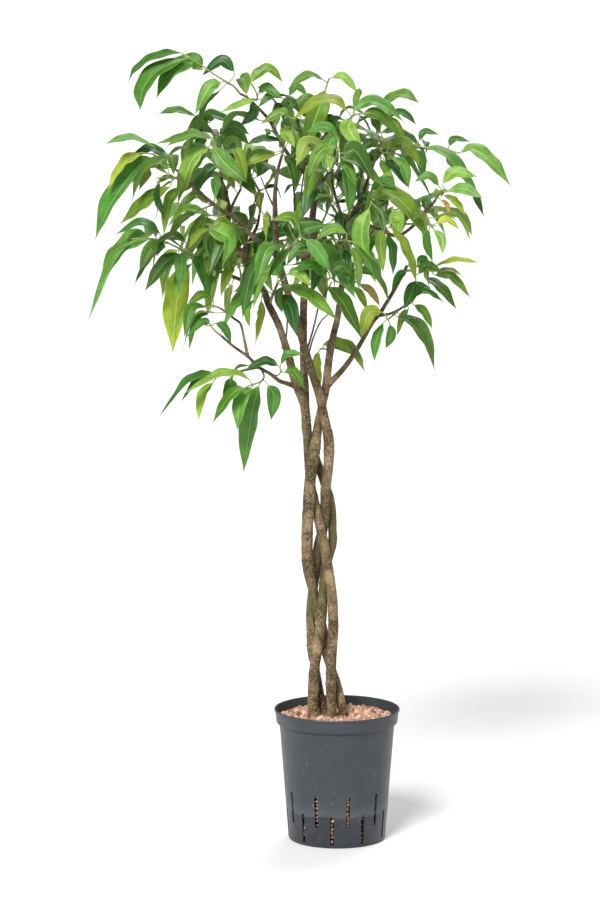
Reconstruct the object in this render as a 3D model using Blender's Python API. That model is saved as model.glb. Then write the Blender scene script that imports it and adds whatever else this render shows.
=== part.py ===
"""A potted ficus: a braided four-stem trunk and its leafy crown, in an 18/19 culture pot of clay granules.

The origin is the middle of the pot's flat base, +Z is up and the plant's front faces -Y. Sizes below
are in millimetres, and meshes are made in metres. Places in the plant are given as (x, z, y): x and z
are read on an upright plane through the pot's axis as seen from EYE, and y is the depth that the place
is slid to along the line of sight.
"""

import math
import random

import bmesh
import bpy
from mathutils import Matrix, Vector
from mathutils.bvhtree import BVHTree
from mathutils.geometry import delaunay_2d_cdt

MM = 0.001
EYE = Vector((-53.0, -5000.0, 1270.0))
UPWARD = Vector((0, 0, 1))
# Air left between solids, and round a stem in its hole
CLEAR = 0.35
HOLE_CLEAR = 0.45
SMOOTH_UNDER = math.radians(40)

# The pot
RIM_R = 90.0
POT_H = 190.0
COLLAR_H = 20.0
COLLAR_FOOT_R = 87.0
BODY_TOP_R = 82.5
BASE_R = 69.5
WALL = 2.4
BASE_FILLET = 3.0
RIM_LIP = 2.6
POT_SIDES = 40
SLOT_W = 5.0
SLOTS_PER_ROW = 10
# Each row of slots: angle of the first from the front, lowest z, highest z
SLOT_ROWS = ((12.0, 30.0, 76.0), (-6.0, 5.5, 48.0))

# The clay granules
FILL_Z = 176.0
PEBBLE = 20.0
PEBBLE_RISE = 5.0
PEBBLE_SEED = 7
# A pebble's crown of corners and the low spots round it, as shares of PEBBLE from its middle
PEBBLE_CROWN = 0.29
PEBBLE_SKIRT = 0.56
PEBBLE_STRAY = 0.16
PEBBLE_TILT = 1.1
GAP_DROP = 1.6
EDGE_DROP = 1.0
FILL_SIDES = 32
FILL_GAP = 0.5

# The four strands of the trunk: (x, z, y, radius)
STEM_A = (
    (-34, 120, 0, 8.5), (-34, 175, 0, 8.5), (-33.6, 220, 0, 8.2), (-32, 250, -3, 7.9),
    (-27.8, 277, -4, 7.7), (-24.6, 300, -5, 7.4), (-21.4, 325, -5, 7.4), (-20.5, 350, -1, 6.9),
    (-19, 375, 7, 6.8), (-15, 400, 9, 7), (-7, 428, 12, 6.6), (-6.8, 450, 18, 6.2),
    (-7.3, 468, 24, 6.4), (-10, 490, 22, 6.6), (-15, 507, 17, 6.6), (-23, 530, 15, 6.6),
    (-30.5, 550, 17, 6.6), (-37.5, 570, 18, 6.5), (-44, 590, 14, 6.4), (-45, 620, 10, 6.1),
    (-46, 645, 8, 6), (-47.3, 675, 7, 5.7), (-48, 700, 6.5, 5.5), (-48, 730, 7, 5.4),
    (-48, 765, 7, 5.3), (-46, 800, 8, 5.2), (-43, 840, 10, 5.1), (-38, 870, 12, 5), (-34, 905, 14, 4.6),
    (-31, 925, 15, 4),
)
STEM_B = (
    (-16, 120, 13, 6.5), (-17, 175, 13, 6.5), (-22.5, 200, 14, 6.5), (-27.5, 225, 15, 6.6),
    (-32, 252, 15, 6.8), (-36, 275, 14, 7), (-37, 300, 15.5, 7), (-37.5, 325, 22.5, 7),
    (-36, 350, 27, 7), (-32.5, 375, 19, 7), (-29, 400, 15, 7.2), (-27, 425, 13, 7.2),
    (-21.5, 445, 12, 7.2), (-18, 465, 13, 7.2), (-17, 490, 7, 7.3), (-16.8, 507, -1, 7.3),
    (-13.5, 530, -3, 7.3), (-12, 555, -2, 7.6), (-12.4, 577, -3, 7.6), (-15.4, 597, -7, 6.9),
    (-21.6, 625, -9, 6.5), (-28, 650, -8.5, 6.2), (-36, 675, -8, 6), (-44, 700, -7.5, 5.8),
    (-51, 725, -6.5, 5.6), (-58, 750, -5, 5.4), (-68, 780, -8, 5.2), (-77, 810, -14, 5),
    (-85, 840, -20, 4.8), (-87, 870, -25, 4.4), (-88, 900, -32, 3.8), (-88, 930, -40, 3),
    (-84, 960, -44, 2.4), (-78, 982, -42, 2),
)
STEM_C = (
    (-7, 120, -5, 7), (-7, 175, -5, 7), (-8.6, 215, -5, 7.5), (-8.6, 250, -7, 7.8),
    (-7.2, 278, -7, 7.5), (-5.3, 310, -7, 7.5), (-6.2, 340, -9, 7.5), (-9.5, 372, -9, 7.4),
    (-14, 400, -9, 7.4), (-18.2, 425, -8, 7.3), (-23, 447, -6, 7), (-27, 465, -1, 6.8),
    (-32.5, 490, 6, 6.6), (-36.5, 507, 8, 6.5), (-40, 530, 9, 6.4), (-41, 550, 7.5, 6.4),
    (-42, 570, 4.5, 6.4), (-43, 597, -3, 6.6), (-46.5, 628, -6, 7), (-54, 650, -7, 7.8),
    (-62, 670, -7, 6.8), (-70, 700, -8, 5.6), (-80, 733, -6, 5.3), (-88, 752, -4, 5.1),
    (-97, 770, 0, 5), (-104, 790, 5, 4.9), (-118, 810, 8, 4.7), (-130, 835, 12, 4.5),
    (-142, 853, 16, 4.3), (-150, 868, 20, 4.1), (-155, 885, 24, 3.8), (-153, 905, 28, 3.4),
    (-158, 930, 34, 3), (-165, 950, 40, 2.6),
)
STEM_D = (
    (10, 120, 2, 6.5), (9.5, 175, 4, 6.5), (4.5, 205, 8, 6.5), (-1, 227, 10, 6.5), (-8, 247, 11, 6.6),
    (-14, 264, 12, 6.6), (-17.4, 285, 13, 6.6), (-20, 304, 13.5, 6.7), (-26, 325, 12.5, 7),
    (-32, 350, 10.5, 7.2), (-37.5, 375, -3, 7.8), (-41.8, 400, -4, 8.4), (-43, 430, -4, 8.5),
    (-42, 462, -9, 8.5), (-40.4, 490, -10, 8.5), (-39, 515, -9.5, 8.5), (-36.2, 540, -8.5, 8.5),
    (-32.8, 560, -7, 8.1), (-29.4, 585, -4, 7.1), (-26, 605, 4, 6.3), (-22, 625, 6.5, 6),
    (-17, 650, 6, 6), (-14, 675, 5, 5.7), (-11, 700, 4, 5.5), (-5, 730, 2, 5), (0, 752, 0, 4.6),
    (5, 790, -4, 4.3), (10, 830, -7, 4), (10, 870, -8, 3.6), (8, 890, -9, 3.2),
)

# Side branches: name: (stem, first and last radius, (x, z, y) points; the first lies inside the stem)
BRANCHES = {
    "a_long_top": ("stem_a", 3.6, 1.7, ((-31, 925, 15), (-35, 938, 14), (-48, 958, 12), (-60, 970, 10),
                   (-76, 992, 6), (-90, 1019, 0), (-100, 1035, -4), (-125, 1060, -12), (-137, 1067, -16))),
    "a_upright": ("stem_a", 3.2, 2.0, ((-31, 925, 15), (-32, 952, 20), (-34, 975, 26), (-35, 992, 30))),
    "a_right": ("stem_a", 3.0, 1.9, ((-31, 922, 15), (-22, 944, 12), (-11, 951, 6), (2, 952, 0))),
    "a_dark_top": ("stem_a", 2.6, 1.7, ((-48, 958, 12), (-46, 984, 6), (-35, 999, 0), (-15, 1005, -8),
                   (8, 1008, -14))),
    "a_back": ("stem_a", 3.4, 2.0, ((-46, 806, 8), (-44, 832, 34), (-34, 862, 66), (-22, 886, 96))),
    "b_left": ("stem_b", 3.9, 1.9, ((-85, 840, -20), (-105, 855, -30), (-121, 868, -38), (-135, 884, -44),
               (-148, 895, -49), (-165, 905, -54), (-190, 925, -62), (-212, 945, -70), (-226, 960, -75))),
    "b_front": ("stem_b", 2.8, 1.8, ((-80, 820, -16), (-75, 836, -58), (-66, 853, -108))),
    "c_low_left": ("stem_c", 3.4, 1.8, ((-55, 652, -8), (-70, 658, -16), (-82, 662, -22), (-95, 672, -30),
                   (-112, 682, -36), (-127, 697, -38), (-148, 712, -42), (-164, 726, -46))),
    "c_low_side": ("stem_c", 2.0, 1.6, ((-112, 682, -36), (-129, 678, -46), (-144, 674, -54))),
    "c_low_up": ("stem_c", 2.0, 1.6, ((-127, 697, -38), (-132, 722, -30), (-137, 743, -24), (-148, 752, -18),
                 (-163, 764, -10))),
    "c_far_left": ("stem_c", 3.2, 1.8, ((-109, 795, 6), (-135, 805, 20), (-160, 815, 32), (-181, 825, 42),
                   (-199, 835, 50))),
    "c_back": ("stem_c", 3.0, 1.9, ((-130, 838, 12), (-123, 862, 34), (-114, 880, 56), (-110, 898, 76))),
    "c_front": ("stem_c", 2.4, 1.7, ((-97, 770, 0), (-91, 785, -30), (-85, 800, -62))),
    "c_top_right": ("stem_c", 2.2, 1.6, ((-153, 900, 27), (-145, 917, 42), (-136, 934, 58))),
    "d_right": ("stem_d", 4.0, 2.4, ((-15, 655, 5), (9, 680, 12), (30, 711, 20), (49, 745, 26),
                (59, 757, 29), (72, 778, 33), (85, 800, 37), (98, 826, 42))),
    "d_low_right": ("stem_d", 2.2, 1.6, ((57, 755, 29), (72, 757, 18), (86, 763, 8), (96, 770, 0))),
    "d_crown_right": ("stem_d", 3.0, 2.0, ((8, 880, -9), (30, 886, -22), (58, 877, -34), (85, 868, -44),
                      (112, 887, -52), (125, 904, -56), (137, 917, -58))),
    "d_up": ("stem_d", 2.8, 1.9, ((8, 884, -9), (26, 908, 0), (38, 934, 12), (50, 970, 24), (60, 997, 32))),
    "d_far_right": ("stem_d", 2.2, 1.5, ((54, 980, 27), (76, 992, 30), (100, 993, 32), (120, 991, 34),
                    (144, 988, 36))),
    "d_up_left": ("stem_d", 2.6, 1.7, ((8, 884, -9), (2, 906, -36), (-6, 934, -70), (-10, 958, -98))),
    "d_back": ("stem_d", 3.2, 2.0, ((6, 795, -4), (20, 824, 24), (36, 850, 56), (48, 872, 88))),
}

POT_COLOUR = (0.045, 0.052, 0.058)
CLAY_COLOUR = (0.30, 0.135, 0.075)
CUTTER_COLOUR = (1, 1, 1)
BARK = {
    "stem_a": (0.165, 0.115, 0.070), "stem_b": (0.185, 0.135, 0.085),
    "stem_c": (0.175, 0.125, 0.075), "stem_d": (0.150, 0.110, 0.068),
}
# Colours of leaves by the tone letter that each leaf carries: dark, green, light, olive, lime, young
TONES = {
    "d": (0.055, 0.130, 0.050), "g": (0.085, 0.205, 0.050), "l": (0.160, 0.330, 0.080),
    "o": (0.150, 0.210, 0.045), "y": (0.330, 0.420, 0.080), "b": (0.420, 0.260, 0.110),
}

# Sprays seen from the front: name: (branch, twig points past the branch, leaves)
# A leaf is (tone, seen width, base, points along it as (x, z)); its tip is the last point
SPRAYS = {
    "spray_top_left_tip": ("a_long_top",
        ((-148, 1079, -22), (-166, 1089, -30), (-187, 1104, -38), (-213, 1120, -46)), (
        ("g", 10, (-219, 1124), (-250, 1120), (-280, 1103), (-294, 1082)),
        ("g", 22, (-213, 1117), (-250, 1100), (-272, 1075), (-277, 1044)),
        ("g", 22, (-176, 1110), (-205, 1112), (-235, 1095), (-254, 1061)),
        ("d", 15, (-145, 1098), (-163, 1112), (-190, 1092)),
        ("l", 18, (-160, 1084), (-180, 1075), (-200, 1038)))),
    "spray_top_left_inner": ("a_long_top", ((-112, 1060, -42), (-119, 1078, -74)), (
        ("g", 13, (-122, 1083), (-112, 1094), (-95, 1101), (-77, 1083)),
        ("g", 13, (-118, 1065), (-100, 1075), (-78, 1060)),
        ("d", 15, (-106, 1048), (-118, 1040), (-137, 1022)),
        ("l", 10, (-104, 1052), (-130, 1054), (-166, 1040)))),
    "spray_top_left_low": ("stem_b", ((-74, 1002, -52), (-66, 1022, -76), (-62, 1034, -94)), (
        ("g", 12, (-60, 1035), (-80, 1040), (-109, 1024)),
        ("d", 10, (-78, 1004), (-104, 1003), (-128, 996)),
        ("y", 18, (-66, 1022), (-72, 1012), (-60, 992)),
        ("o", 13, (-86, 982), (-108, 978), (-131, 966)),
        ("g", 12, (-84, 976), (-100, 966), (-114, 944)),
        ("d", 15, (-72, 986), (-64, 966), (-58, 932)))),
    "spray_left_upper": ("stem_c", ((-164, 978, 50), (-170, 1006, 54), (-190, 1030, 58)), (
        ("l", 10, (-200, 1036), (-225, 1044), (-251, 1039)),
        ("g", 13, (-195, 1036), (-175, 1038), (-138, 1023)),
        ("g", 13, (-174, 1024), (-192, 1032), (-211, 1018)),
        ("l", 13, (-166, 1010), (-200, 1008), (-256, 997)),
        ("d", 15, (-168, 1012), (-146, 1022), (-124, 1010)),
        ("l", 14, (-162, 1006), (-142, 1011), (-124, 996)),
        ("d", 12, (-184, 1016), (-200, 1016), (-214, 1003)))),
    "spray_left_facing": ("stem_c", ((-166, 966, 6), (-172, 985, -36), (-178, 998, -76)), (
        ("l", 20, (-175, 1000), (-205, 972), (-225, 912)),
        ("g", 26, (-180, 996), (-160, 972), (-128, 943)),
        ("d", 14, (-168, 986), (-148, 984), (-118, 968)),
        ("g", 16, (-184, 984), (-208, 968), (-227, 932)),
        ("d", 15, (-168, 972), (-182, 960), (-198, 934)),
        ("g", 12, (-178, 1004), (-205, 1010), (-240, 994)))),
    "spray_left_outer": ("b_left", ((-240, 969, -90), (-256, 981, -104), (-272, 984, -112)), (
        ("l", 9, (-256, 992), (-290, 1005), (-326, 997)),
        ("y", 12, (-276, 982), (-300, 970), (-324, 931)),
        ("l", 24, (-258, 978), (-285, 960), (-320, 910), (-341, 863)),
        ("d", 12, (-238, 976), (-262, 990), (-293, 977)))),
    "spray_left_mid": ("b_left", ((-222, 948, -104), (-238, 950, -134), (-252, 949, -158)), (
        ("d", 13, (-238, 962), (-254, 970), (-275, 955), (-289, 918)),
        ("o", 18, (-236, 936), (-270, 915), (-306, 884)),
        ("d", 10, (-254, 948), (-257, 925), (-243, 890)),
        ("g", 15, (-220, 936), (-236, 915), (-245, 868)),
        ("y", 7, (-226, 944), (-240, 950), (-256, 941)))),
    "spray_left_under": ("b_left", ((-184, 908, -40), (-196, 904, -28)), (
        ("g", 12, (-196, 910), (-218, 890), (-240, 862)),
        ("o", 16, (-188, 900), (-196, 880), (-214, 850)),
        ("l", 12, (-180, 915), (-200, 925), (-226, 905)))),
    "spray_far_left": ("c_far_left",
        ((-220, 848, 46), (-240, 858, 40), (-262, 864, 34), (-284, 864, 28)), (
        ("g", 11, (-250, 871), (-275, 887), (-312, 870)),
        ("l", 19, (-262, 861), (-292, 858), (-318, 825), (-352, 748)),
        ("g", 11, (-290, 858), (-316, 845), (-332, 815)),
        ("g", 20, (-240, 861), (-262, 851), (-280, 817)),
        ("d", 9, (-250, 850), (-268, 832), (-286, 800)))),
    "spray_left_hanging": ("c_far_left", ((-204, 842, 20), (-212, 850, -6), (-214, 852, -28)), (
        ("d", 20, (-222, 842), (-244, 828), (-272, 790)),
        ("l", 19, (-208, 862), (-218, 835), (-222, 788)),
        ("l", 20, (-204, 845), (-192, 826), (-182, 782)),
        ("g", 10, (-214, 860), (-236, 868), (-262, 850)))),
    "spray_left_big_leaves": ("c_far_left", ((-206, 836, 74), (-214, 838, 96)), (
        ("y", 35, (-218, 838), (-226, 780), (-233, 703)),
        ("y", 18, (-226, 848), (-240, 830), (-247, 780)),
        ("g", 18, (-205, 848), (-190, 838), (-176, 800)))),
    "spray_inner_left": ("stem_c", ((-160, 876, -16), (-172, 884, -62), (-184, 884, -104)), (
        ("l", 22, (-186, 888), (-170, 875), (-152, 862), (-163, 822)),
        ("g", 11, (-182, 892), (-162, 886), (-145, 875), (-133, 853)),
        ("d", 12, (-180, 872), (-180, 852), (-166, 826)))),
    "spray_inner_hanging": ("stem_c", ((-110, 789, -24), (-118, 786, -50)), (
        ("g", 10, (-114, 794), (-128, 797), (-147, 788)),
        ("l", 12, (-112, 783), (-130, 778), (-148, 764), (-166, 727)),
        ("g", 9, (-118, 778), (-126, 762), (-124, 738)),
        ("y", 11, (-108, 776), (-106, 755), (-116, 715)))),
    "spray_inner_olive": ("c_far_left", ((-138, 822, 4), (-144, 832, -14)), (
        ("o", 15, (-138, 832), (-154, 815), (-165, 782)),
        ("l", 12, (-150, 834), (-150, 815), (-140, 792)),
        ("d", 12, (-146, 842), (-166, 846), (-190, 832)))),
    "spray_low_left_up": ("c_low_up", ((-176, 769, 2), (-192, 768, 12)), (
        ("l", 7, (-184, 764), (-208, 760), (-236, 727)),
        ("g", 10, (-180, 760), (-198, 748), (-210, 706)),
        ("g", 12, (-176, 778), (-192, 784), (-214, 766)),
        ("y", 9, (-194, 764), (-200, 750), (-192, 728)))),
    "spray_low_left_mid": ("c_low_left", ((-174, 734, -52), (-180, 742, -58)), (
        ("g", 10, (-176, 746), (-190, 746), (-214, 724)),
        ("g", 9, (-164, 728), (-156, 712), (-142, 688)),
        ("g", 12, (-172, 744), (-160, 738), (-150, 715)))),
    "spray_low_left_tip": ("c_low_side", ((-158, 671, -74), (-172, 668, -92)), (
        ("g", 9, (-178, 671), (-210, 661), (-252, 612)),
        ("g", 9, (-166, 676), (-192, 666), (-222, 632)),
        ("y", 13, (-176, 660), (-190, 642), (-197, 606)),
        ("g", 18, (-152, 666), (-152, 652), (-162, 625)))),
    "spray_low_left_front": ("c_low_left", ((-104, 665, -64), (-114, 659, -100), (-126, 655, -132)), (
        ("l", 11, (-124, 664), (-150, 672), (-180, 664), (-218, 643)),
        ("g", 15, (-132, 652), (-152, 641), (-177, 602)),
        ("l", 20, (-118, 655), (-136, 635), (-142, 592)),
        ("g", 28, (-108, 656), (-122, 612), (-133, 532)),
        ("g", 20, (-98, 656), (-90, 640), (-94, 606)))),
    "spray_low_left_right": ("c_low_left", ((-84, 670, -40), (-80, 676, -56)), (
        ("g", 12, (-76, 678), (-62, 676), (-46, 650)),
        ("d", 12, (-84, 684), (-104, 690), (-132, 676)),
        ("l", 10, (-80, 686), (-70, 700), (-48, 700)))),
    "spray_behind_stems": ("stem_d", ((-14, 706, 26), (-22, 708, 44)), (
        ("y", 13, (-27, 704), (-30, 684), (-24, 650)),
        ("o", 17, (-20, 714), (0, 714), (22, 704), (39, 675)),
        ("y", 10, (-12, 716), (-2, 718), (12, 704)))),
    "spray_front_long": ("c_front", ((-82, 804, -88), (-76, 806, -110)), (
        ("l", 18, (-80, 798), (-42, 784), (0, 748)),
        ("l", 14, (-70, 814), (-56, 816), (-36, 795)),
        ("g", 11, (-84, 812), (-98, 818), (-118, 806)),
        ("d", 12, (-78, 796), (-84, 780), (-78, 758)))),
    "spray_front_upper": ("b_front", ((-60, 861, -134), (-52, 866, -158)), (
        ("g", 19, (-58, 866), (-46, 878), (-14, 884)),
        ("l", 20, (-44, 862), (-29, 848), (-12, 818)),
        ("g", 11, (-60, 852), (-78, 838), (-100, 806)),
        ("g", 14, (-54, 876), (-66, 894), (-92, 890)))),
    "spray_mid_left": ("stem_a", ((-34, 848, -20), (-30, 858, -54)), (
        ("l", 13, (-26, 864), (-12, 852), (-4, 795)),
        ("d", 18, (-30, 848), (-26, 826), (-38, 784)),
        ("g", 14, (-36, 856), (-54, 852), (-72, 826)))),
    "spray_mid_dark": ("stem_d", ((0, 802, -40), (-8, 808, -78), (-14, 806, -108)), (
        ("d", 20, (-14, 796), (6, 775), (34, 722)),
        ("g", 12, (-18, 812), (-38, 826), (-62, 820)),
        ("d", 14, (-12, 816), (4, 826), (20, 812)))),
    "spray_dark_cluster": ("stem_d", ((2, 852, 16), (-6, 862, 38), (-10, 870, 58)), (
        ("d", 18, (-16, 868), (-24, 852), (-36, 836)),
        ("d", 18, (-6, 862), (6, 852), (14, 826)),
        ("d", 16, (0, 872), (16, 876), (34, 858)),
        ("d", 14, (-16, 878), (-36, 884), (-58, 866)))),
    "spray_mid_front_right": ("stem_d", ((10, 858, -48), (10, 862, -92), (16, 860, -132)), (
        ("l", 26, (4, 852), (8, 822), (24, 780)),
        ("l", 13, (20, 852), (28, 830), (30, 790)),
        ("g", 9, (24, 858), (50, 822), (74, 772)),
        ("l", 14, (12, 872), (-8, 878), (-30, 862)))),
    "spray_orange": ("stem_d", ((14, 800, 10), (24, 803, 22)), (
        ("b", 11, (30, 800), (46, 790), (60, 768)),
        ("y", 11, (24, 796), (32, 784), (42, 762)),
        ("g", 12, (20, 810), (32, 820), (52, 812)))),
    "spray_low_right": ("d_low_right", ((104, 774, -10),), (
        ("g", 9, (104, 782), (124, 789), (150, 774)),
        ("o", 10, (100, 764), (92, 752), (84, 726)),
        ("g", 14, (98, 780), (110, 796), (132, 794)),
        ("g", 12, (108, 770), (122, 760), (134, 736)))),
    "spray_low_right_front": ("d_low_right", ((72, 750, -24), (70, 752, -62)), (
        ("o", 20, (62, 760), (44, 758), (33, 722)),
        ("d", 13, (80, 754), (106, 742), (132, 702)),
        ("l", 14, (64, 744), (56, 722), (52, 690)),
        ("g", 14, (74, 742), (76, 728), (68, 708)))),
    "spray_top": ("a_upright", ((-30, 1020, 24), (-24, 1048, 12), (-18, 1070, -2), (-14, 1084, -12)), (
        ("g", 30, (-16, 1078), (-28, 1042), (-47, 992)),
        ("g", 11, (-20, 1086), (-42, 1092), (-70, 1073)),
        ("l", 12, (-8, 1090), (8, 1090), (28, 1068)),
        ("g", 14, (-26, 1050), (-44, 1060), (-68, 1044)),
        ("d", 14, (-24, 1036), (-8, 1030), (4, 1008)))),
    "spray_top_left_up": ("a_long_top", ((-86, 1034, 14), (-78, 1050, 30), (-72, 1062, 44)), (
        ("g", 10, (-72, 1066), (-58, 1077), (-42, 1064)),
        ("l", 12, (-76, 1062), (-92, 1066), (-112, 1048)),
        ("g", 14, (-72, 1050), (-58, 1052), (-40, 1030)))),
    "spray_top_right": ("a_dark_top", ((14, 1024, -40), (20, 1036, -72), (40, 1040, -102)), (
        ("o", 14, (12, 1044), (-6, 1058), (-34, 1053), (-65, 1028)),
        ("l", 23, (16, 1040), (15, 1018), (34, 988)),
        ("l", 15, (22, 1044), (46, 1056), (68, 1048), (92, 1028)),
        ("o", 15, (30, 1036), (58, 1036), (91, 1004)))),
    "spray_top_right_tip": ("d_up", ((54, 1018, 30), (52, 1034, 24), (60, 1036, 14)), (
        ("g", 13, (50, 1042), (72, 1058), (92, 1066), (114, 1054)),
        ("d", 10, (68, 1036), (90, 1040), (110, 1024)),
        ("o", 15, (60, 1032), (80, 1022), (95, 996)),
        ("d", 13, (58, 1014), (84, 1014), (122, 990)))),
    "spray_crown_front": ("d_up_left", ((-4, 972, -128), (0, 990, -158)), (
        ("d", 22, (2, 1000), (26, 986), (52, 942)),
        ("g", 18, (-8, 994), (-26, 984), (-42, 950)),
        ("g", 14, (-4, 972), (14, 964), (26, 936)),
        ("l", 13, (0, 1004), (-16, 1020), (-44, 1014)),
        ("l", 17, (6, 968), (15, 940), (16, 893)),
        ("g", 13, (2, 980), (34, 968), (66, 934)))),
    "spray_far_right": ("d_far_right", ((156, 988, 34), (166, 985, 30)), (
        ("l", 18, (172, 985), (190, 990), (216, 970), (243, 938)),
        ("g", 14, (152, 982), (164, 966), (190, 936)),
        ("g", 9, (156, 994), (164, 1004), (186, 1000)))),
    "spray_right_upper": ("d_far_right", ((106, 996, 8), (112, 994, -12)), (
        ("l", 15, (120, 992), (150, 982), (175, 952), (200, 918)),
        ("g", 9, (114, 1002), (122, 1014), (142, 1010)),
        ("g", 15, (104, 988), (116, 976), (120, 946)),
        ("o", 12, (110, 986), (98, 970), (94, 940)))),
    "spray_right_tip": ("d_crown_right", ((144, 928, -80), (150, 933, -98)), (
        ("l", 16, (148, 942), (164, 957), (196, 951)),
        ("l", 16, (156, 932), (178, 934), (204, 921)),
        ("g", 11, (142, 938), (128, 952), (108, 944)),
        ("y", 10, (148, 926), (164, 916), (180, 896)),
        ("b", 7, (144, 922), (152, 912), (158, 896)))),
    "spray_upper_right": ("d_up", ((56, 976, 4), (62, 984, -20), (70, 984, -38)), (
        ("o", 15, (72, 992), (94, 996), (118, 962)),
        ("l", 12, (64, 978), (66, 962), (82, 934)),
        ("l", 14, (76, 978), (92, 966), (100, 934)),
        ("g", 13, (58, 992), (46, 998), (24, 982)),
        ("d", 16, (66, 974), (84, 962), (98, 936)),
        ("d", 14, (56, 978), (40, 974), (32, 950)))),
    "spray_right_big": ("d_up", ((36, 914, -36), (44, 918, -78), (48, 914, -112)), (
        ("o", 23, (52, 922), (76, 926), (102, 903), (127, 863)),
        ("l", 24, (44, 906), (34, 872), (42, 822)),
        ("g", 13, (46, 930), (62, 944), (84, 934)),
        ("l", 16, (40, 926), (46, 910), (52, 880)),
        ("d", 12, (54, 908), (62, 896), (66, 872)))),
    "spray_right_hanging": ("d_crown_right", ((62, 884, -84), (68, 886, -124)), (
        ("l", 16, (60, 880), (60, 858), (64, 815)),
        ("l", 19, (66, 896), (84, 894), (84, 860)),
        ("o", 13, (74, 882), (94, 850), (112, 800)),
        ("g", 13, (68, 878), (76, 850), (78, 812)))),
    "spray_right_dark": ("d_crown_right", ((116, 896, -34), (116, 904, -16)), (
        ("d", 13, (112, 913), (125, 916), (136, 892)),
        ("y", 9, (124, 899), (144, 904), (168, 889)),
        ("g", 13, (106, 897), (92, 892), (83, 867)))),
    "spray_right_lime": ("d_crown_right", ((126, 888, -92), (134, 882, -126)), (
        ("y", 9, (140, 886), (154, 890), (172, 876)),
        ("g", 12, (128, 876), (124, 860), (134, 830)),
        ("l", 12, (136, 876), (146, 864), (148, 842)))),
    "spray_right_low": ("d_right", ((110, 826, 34), (122, 820, 24), (134, 818, 16)), (
        ("g", 15, (108, 838), (120, 834), (128, 803)),
        ("g", 14, (138, 812), (158, 812), (188, 780)),
        ("d", 14, (122, 810), (144, 796), (168, 764)),
        ("y", 8, (136, 824), (164, 832), (199, 830)),
        ("b", 6, (140, 818), (158, 820), (176, 812)))),
    "spray_right_blue": ("d_right", ((104, 818, 10), (108, 812, -10)), (
        ("d", 19, (110, 804), (104, 788), (94, 764)),
        ("g", 12, (102, 816), (88, 812), (76, 790)),
        ("g", 13, (114, 814), (126, 826), (148, 816)))),
}

# Sprays of the far side: name: (branch, twig points, leaves set by rule, seed)
FAR_SPRAYS = {
    "spray_far_centre": ("a_back", ((-14, 904, 120), (-8, 922, 148), (-10, 934, 176)), 7, 11),
    "spray_far_centre_low": ("a_back", ((-42, 872, 100), (-62, 874, 132), (-76, 868, 160)), 6, 12),
    "spray_far_left_top": ("c_back", ((-108, 926, 104), (-122, 950, 136), (-136, 970, 166)), 7, 13),
    "spray_far_left_mid": ("c_back", ((-138, 880, 84), (-164, 894, 120), (-186, 896, 154)), 7, 14),
    "spray_far_left_side": ("c_top_right",
        ((-140, 950, 86), (-156, 972, 116), (-178, 984, 144)), 6, 15),
    "spray_far_right_mid": ("d_back", ((60, 888, 114), (76, 902, 140), (90, 906, 166)), 7, 16),
    "spray_far_right_low": ("d_back", ((22, 840, 92), (14, 842, 130), (12, 830, 166)), 6, 17),
    "spray_far_right_top": ("d_up", ((64, 1000, 56), (62, 1002, 86), (50, 998, 114)), 7, 18),
    "spray_far_top": ("a_upright", ((-30, 1004, 66), (-20, 1016, 102), (-14, 1018, 138)), 7, 19),
    "spray_far_low_left": ("c_far_left", ((-162, 830, 66), (-158, 838, 98), (-148, 840, 130)), 6, 20),
}

LEAF_RATIO = 0.33
LEAF_THICK = 0.85
LEAF_FOLD = 0.22
# Leaves set by rule: the share of the twig left bare, their length and how far they hang
BARE_SHARE = 0.22
RULE_LENGTH = (72, 104)
RULE_HANG = (0.3, 0.62)
RULE_SPREAD = (0.7, 1.3)
RULE_LIFT = (-0.25, 0.35)
RULE_ROLL = (-0.6, 0.6)
RULE_TONES = "dgggllo"
# How far a leaf's tip may lie behind or before its base, as a share of its length
SWERVE = (-0.45, 0.3)
PETIOLE_R = 0.6
PETIOLE_MIN = 6.0
WIDEST_BEND = math.radians(95)
# Stations along a blade, as (share of its length, share of its width)
STATIONS = ((0.0, 0.07), (0.2, 0.76), (0.5, 1.0), (0.8, 0.56))
SMALL_STATIONS = ((0.0, 0.08), (0.36, 1.0), (0.76, 0.62))
SMALL_WIDTH = 24.0
# Steps in millimetres by which a leaf's tip is swung, till it is clear of what is there
SWINGS = (0, -9, 9, -18, 18, -28, 28, -40, 40, -54, 54, -70, 70)
TWIG_R = (1.5, 1.1)
TWIG_SIDES = 4
STEM_SIDES = 6
BRANCH_SIDES = 4


def placed(x, z, y):
    """The point, in millimetres, seen from EYE at (x, z) on the reading plane and lying at depth y."""
    across = (y - EYE.y) / -EYE.y
    return EYE + (Vector((x, 0.0, z)) - EYE) * across


def smooth_path(points, count):
    """Points along a Catmull-Rom curve through the given ones, evenly spread over its control points."""
    ends = [points[0] * 2 - points[1], *points, points[-1] * 2 - points[-2]]
    spread = []
    for step in range(count + 1):
        place = step / count * (len(points) - 1)
        i = min(int(place), len(points) - 2)
        t = place - i
        p0, p1, p2, p3 = ends[i:i + 4]
        spread.append(0.5 * (2 * p1 + (p2 - p0) * t + (2 * p0 - 5 * p1 + 4 * p2 - p3) * t * t
                             + (3 * p1 - p0 - 3 * p2 + p3) * t ** 3))
    return spread


def nearest_on(path, target):
    """The point of a path nearest to the target, with the number of the stretch it lies on."""
    best = None
    for i in range(len(path) - 1):
        run = path[i + 1] - path[i]
        share = max(0.0, min(1.0, (target - path[i]).dot(run) / run.length_squared))
        point = path[i] + run * share
        gap = (target - point).length
        if best is None or gap < best[0]:
            best = (gap, point, i)
    return best[1], best[2]


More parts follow.
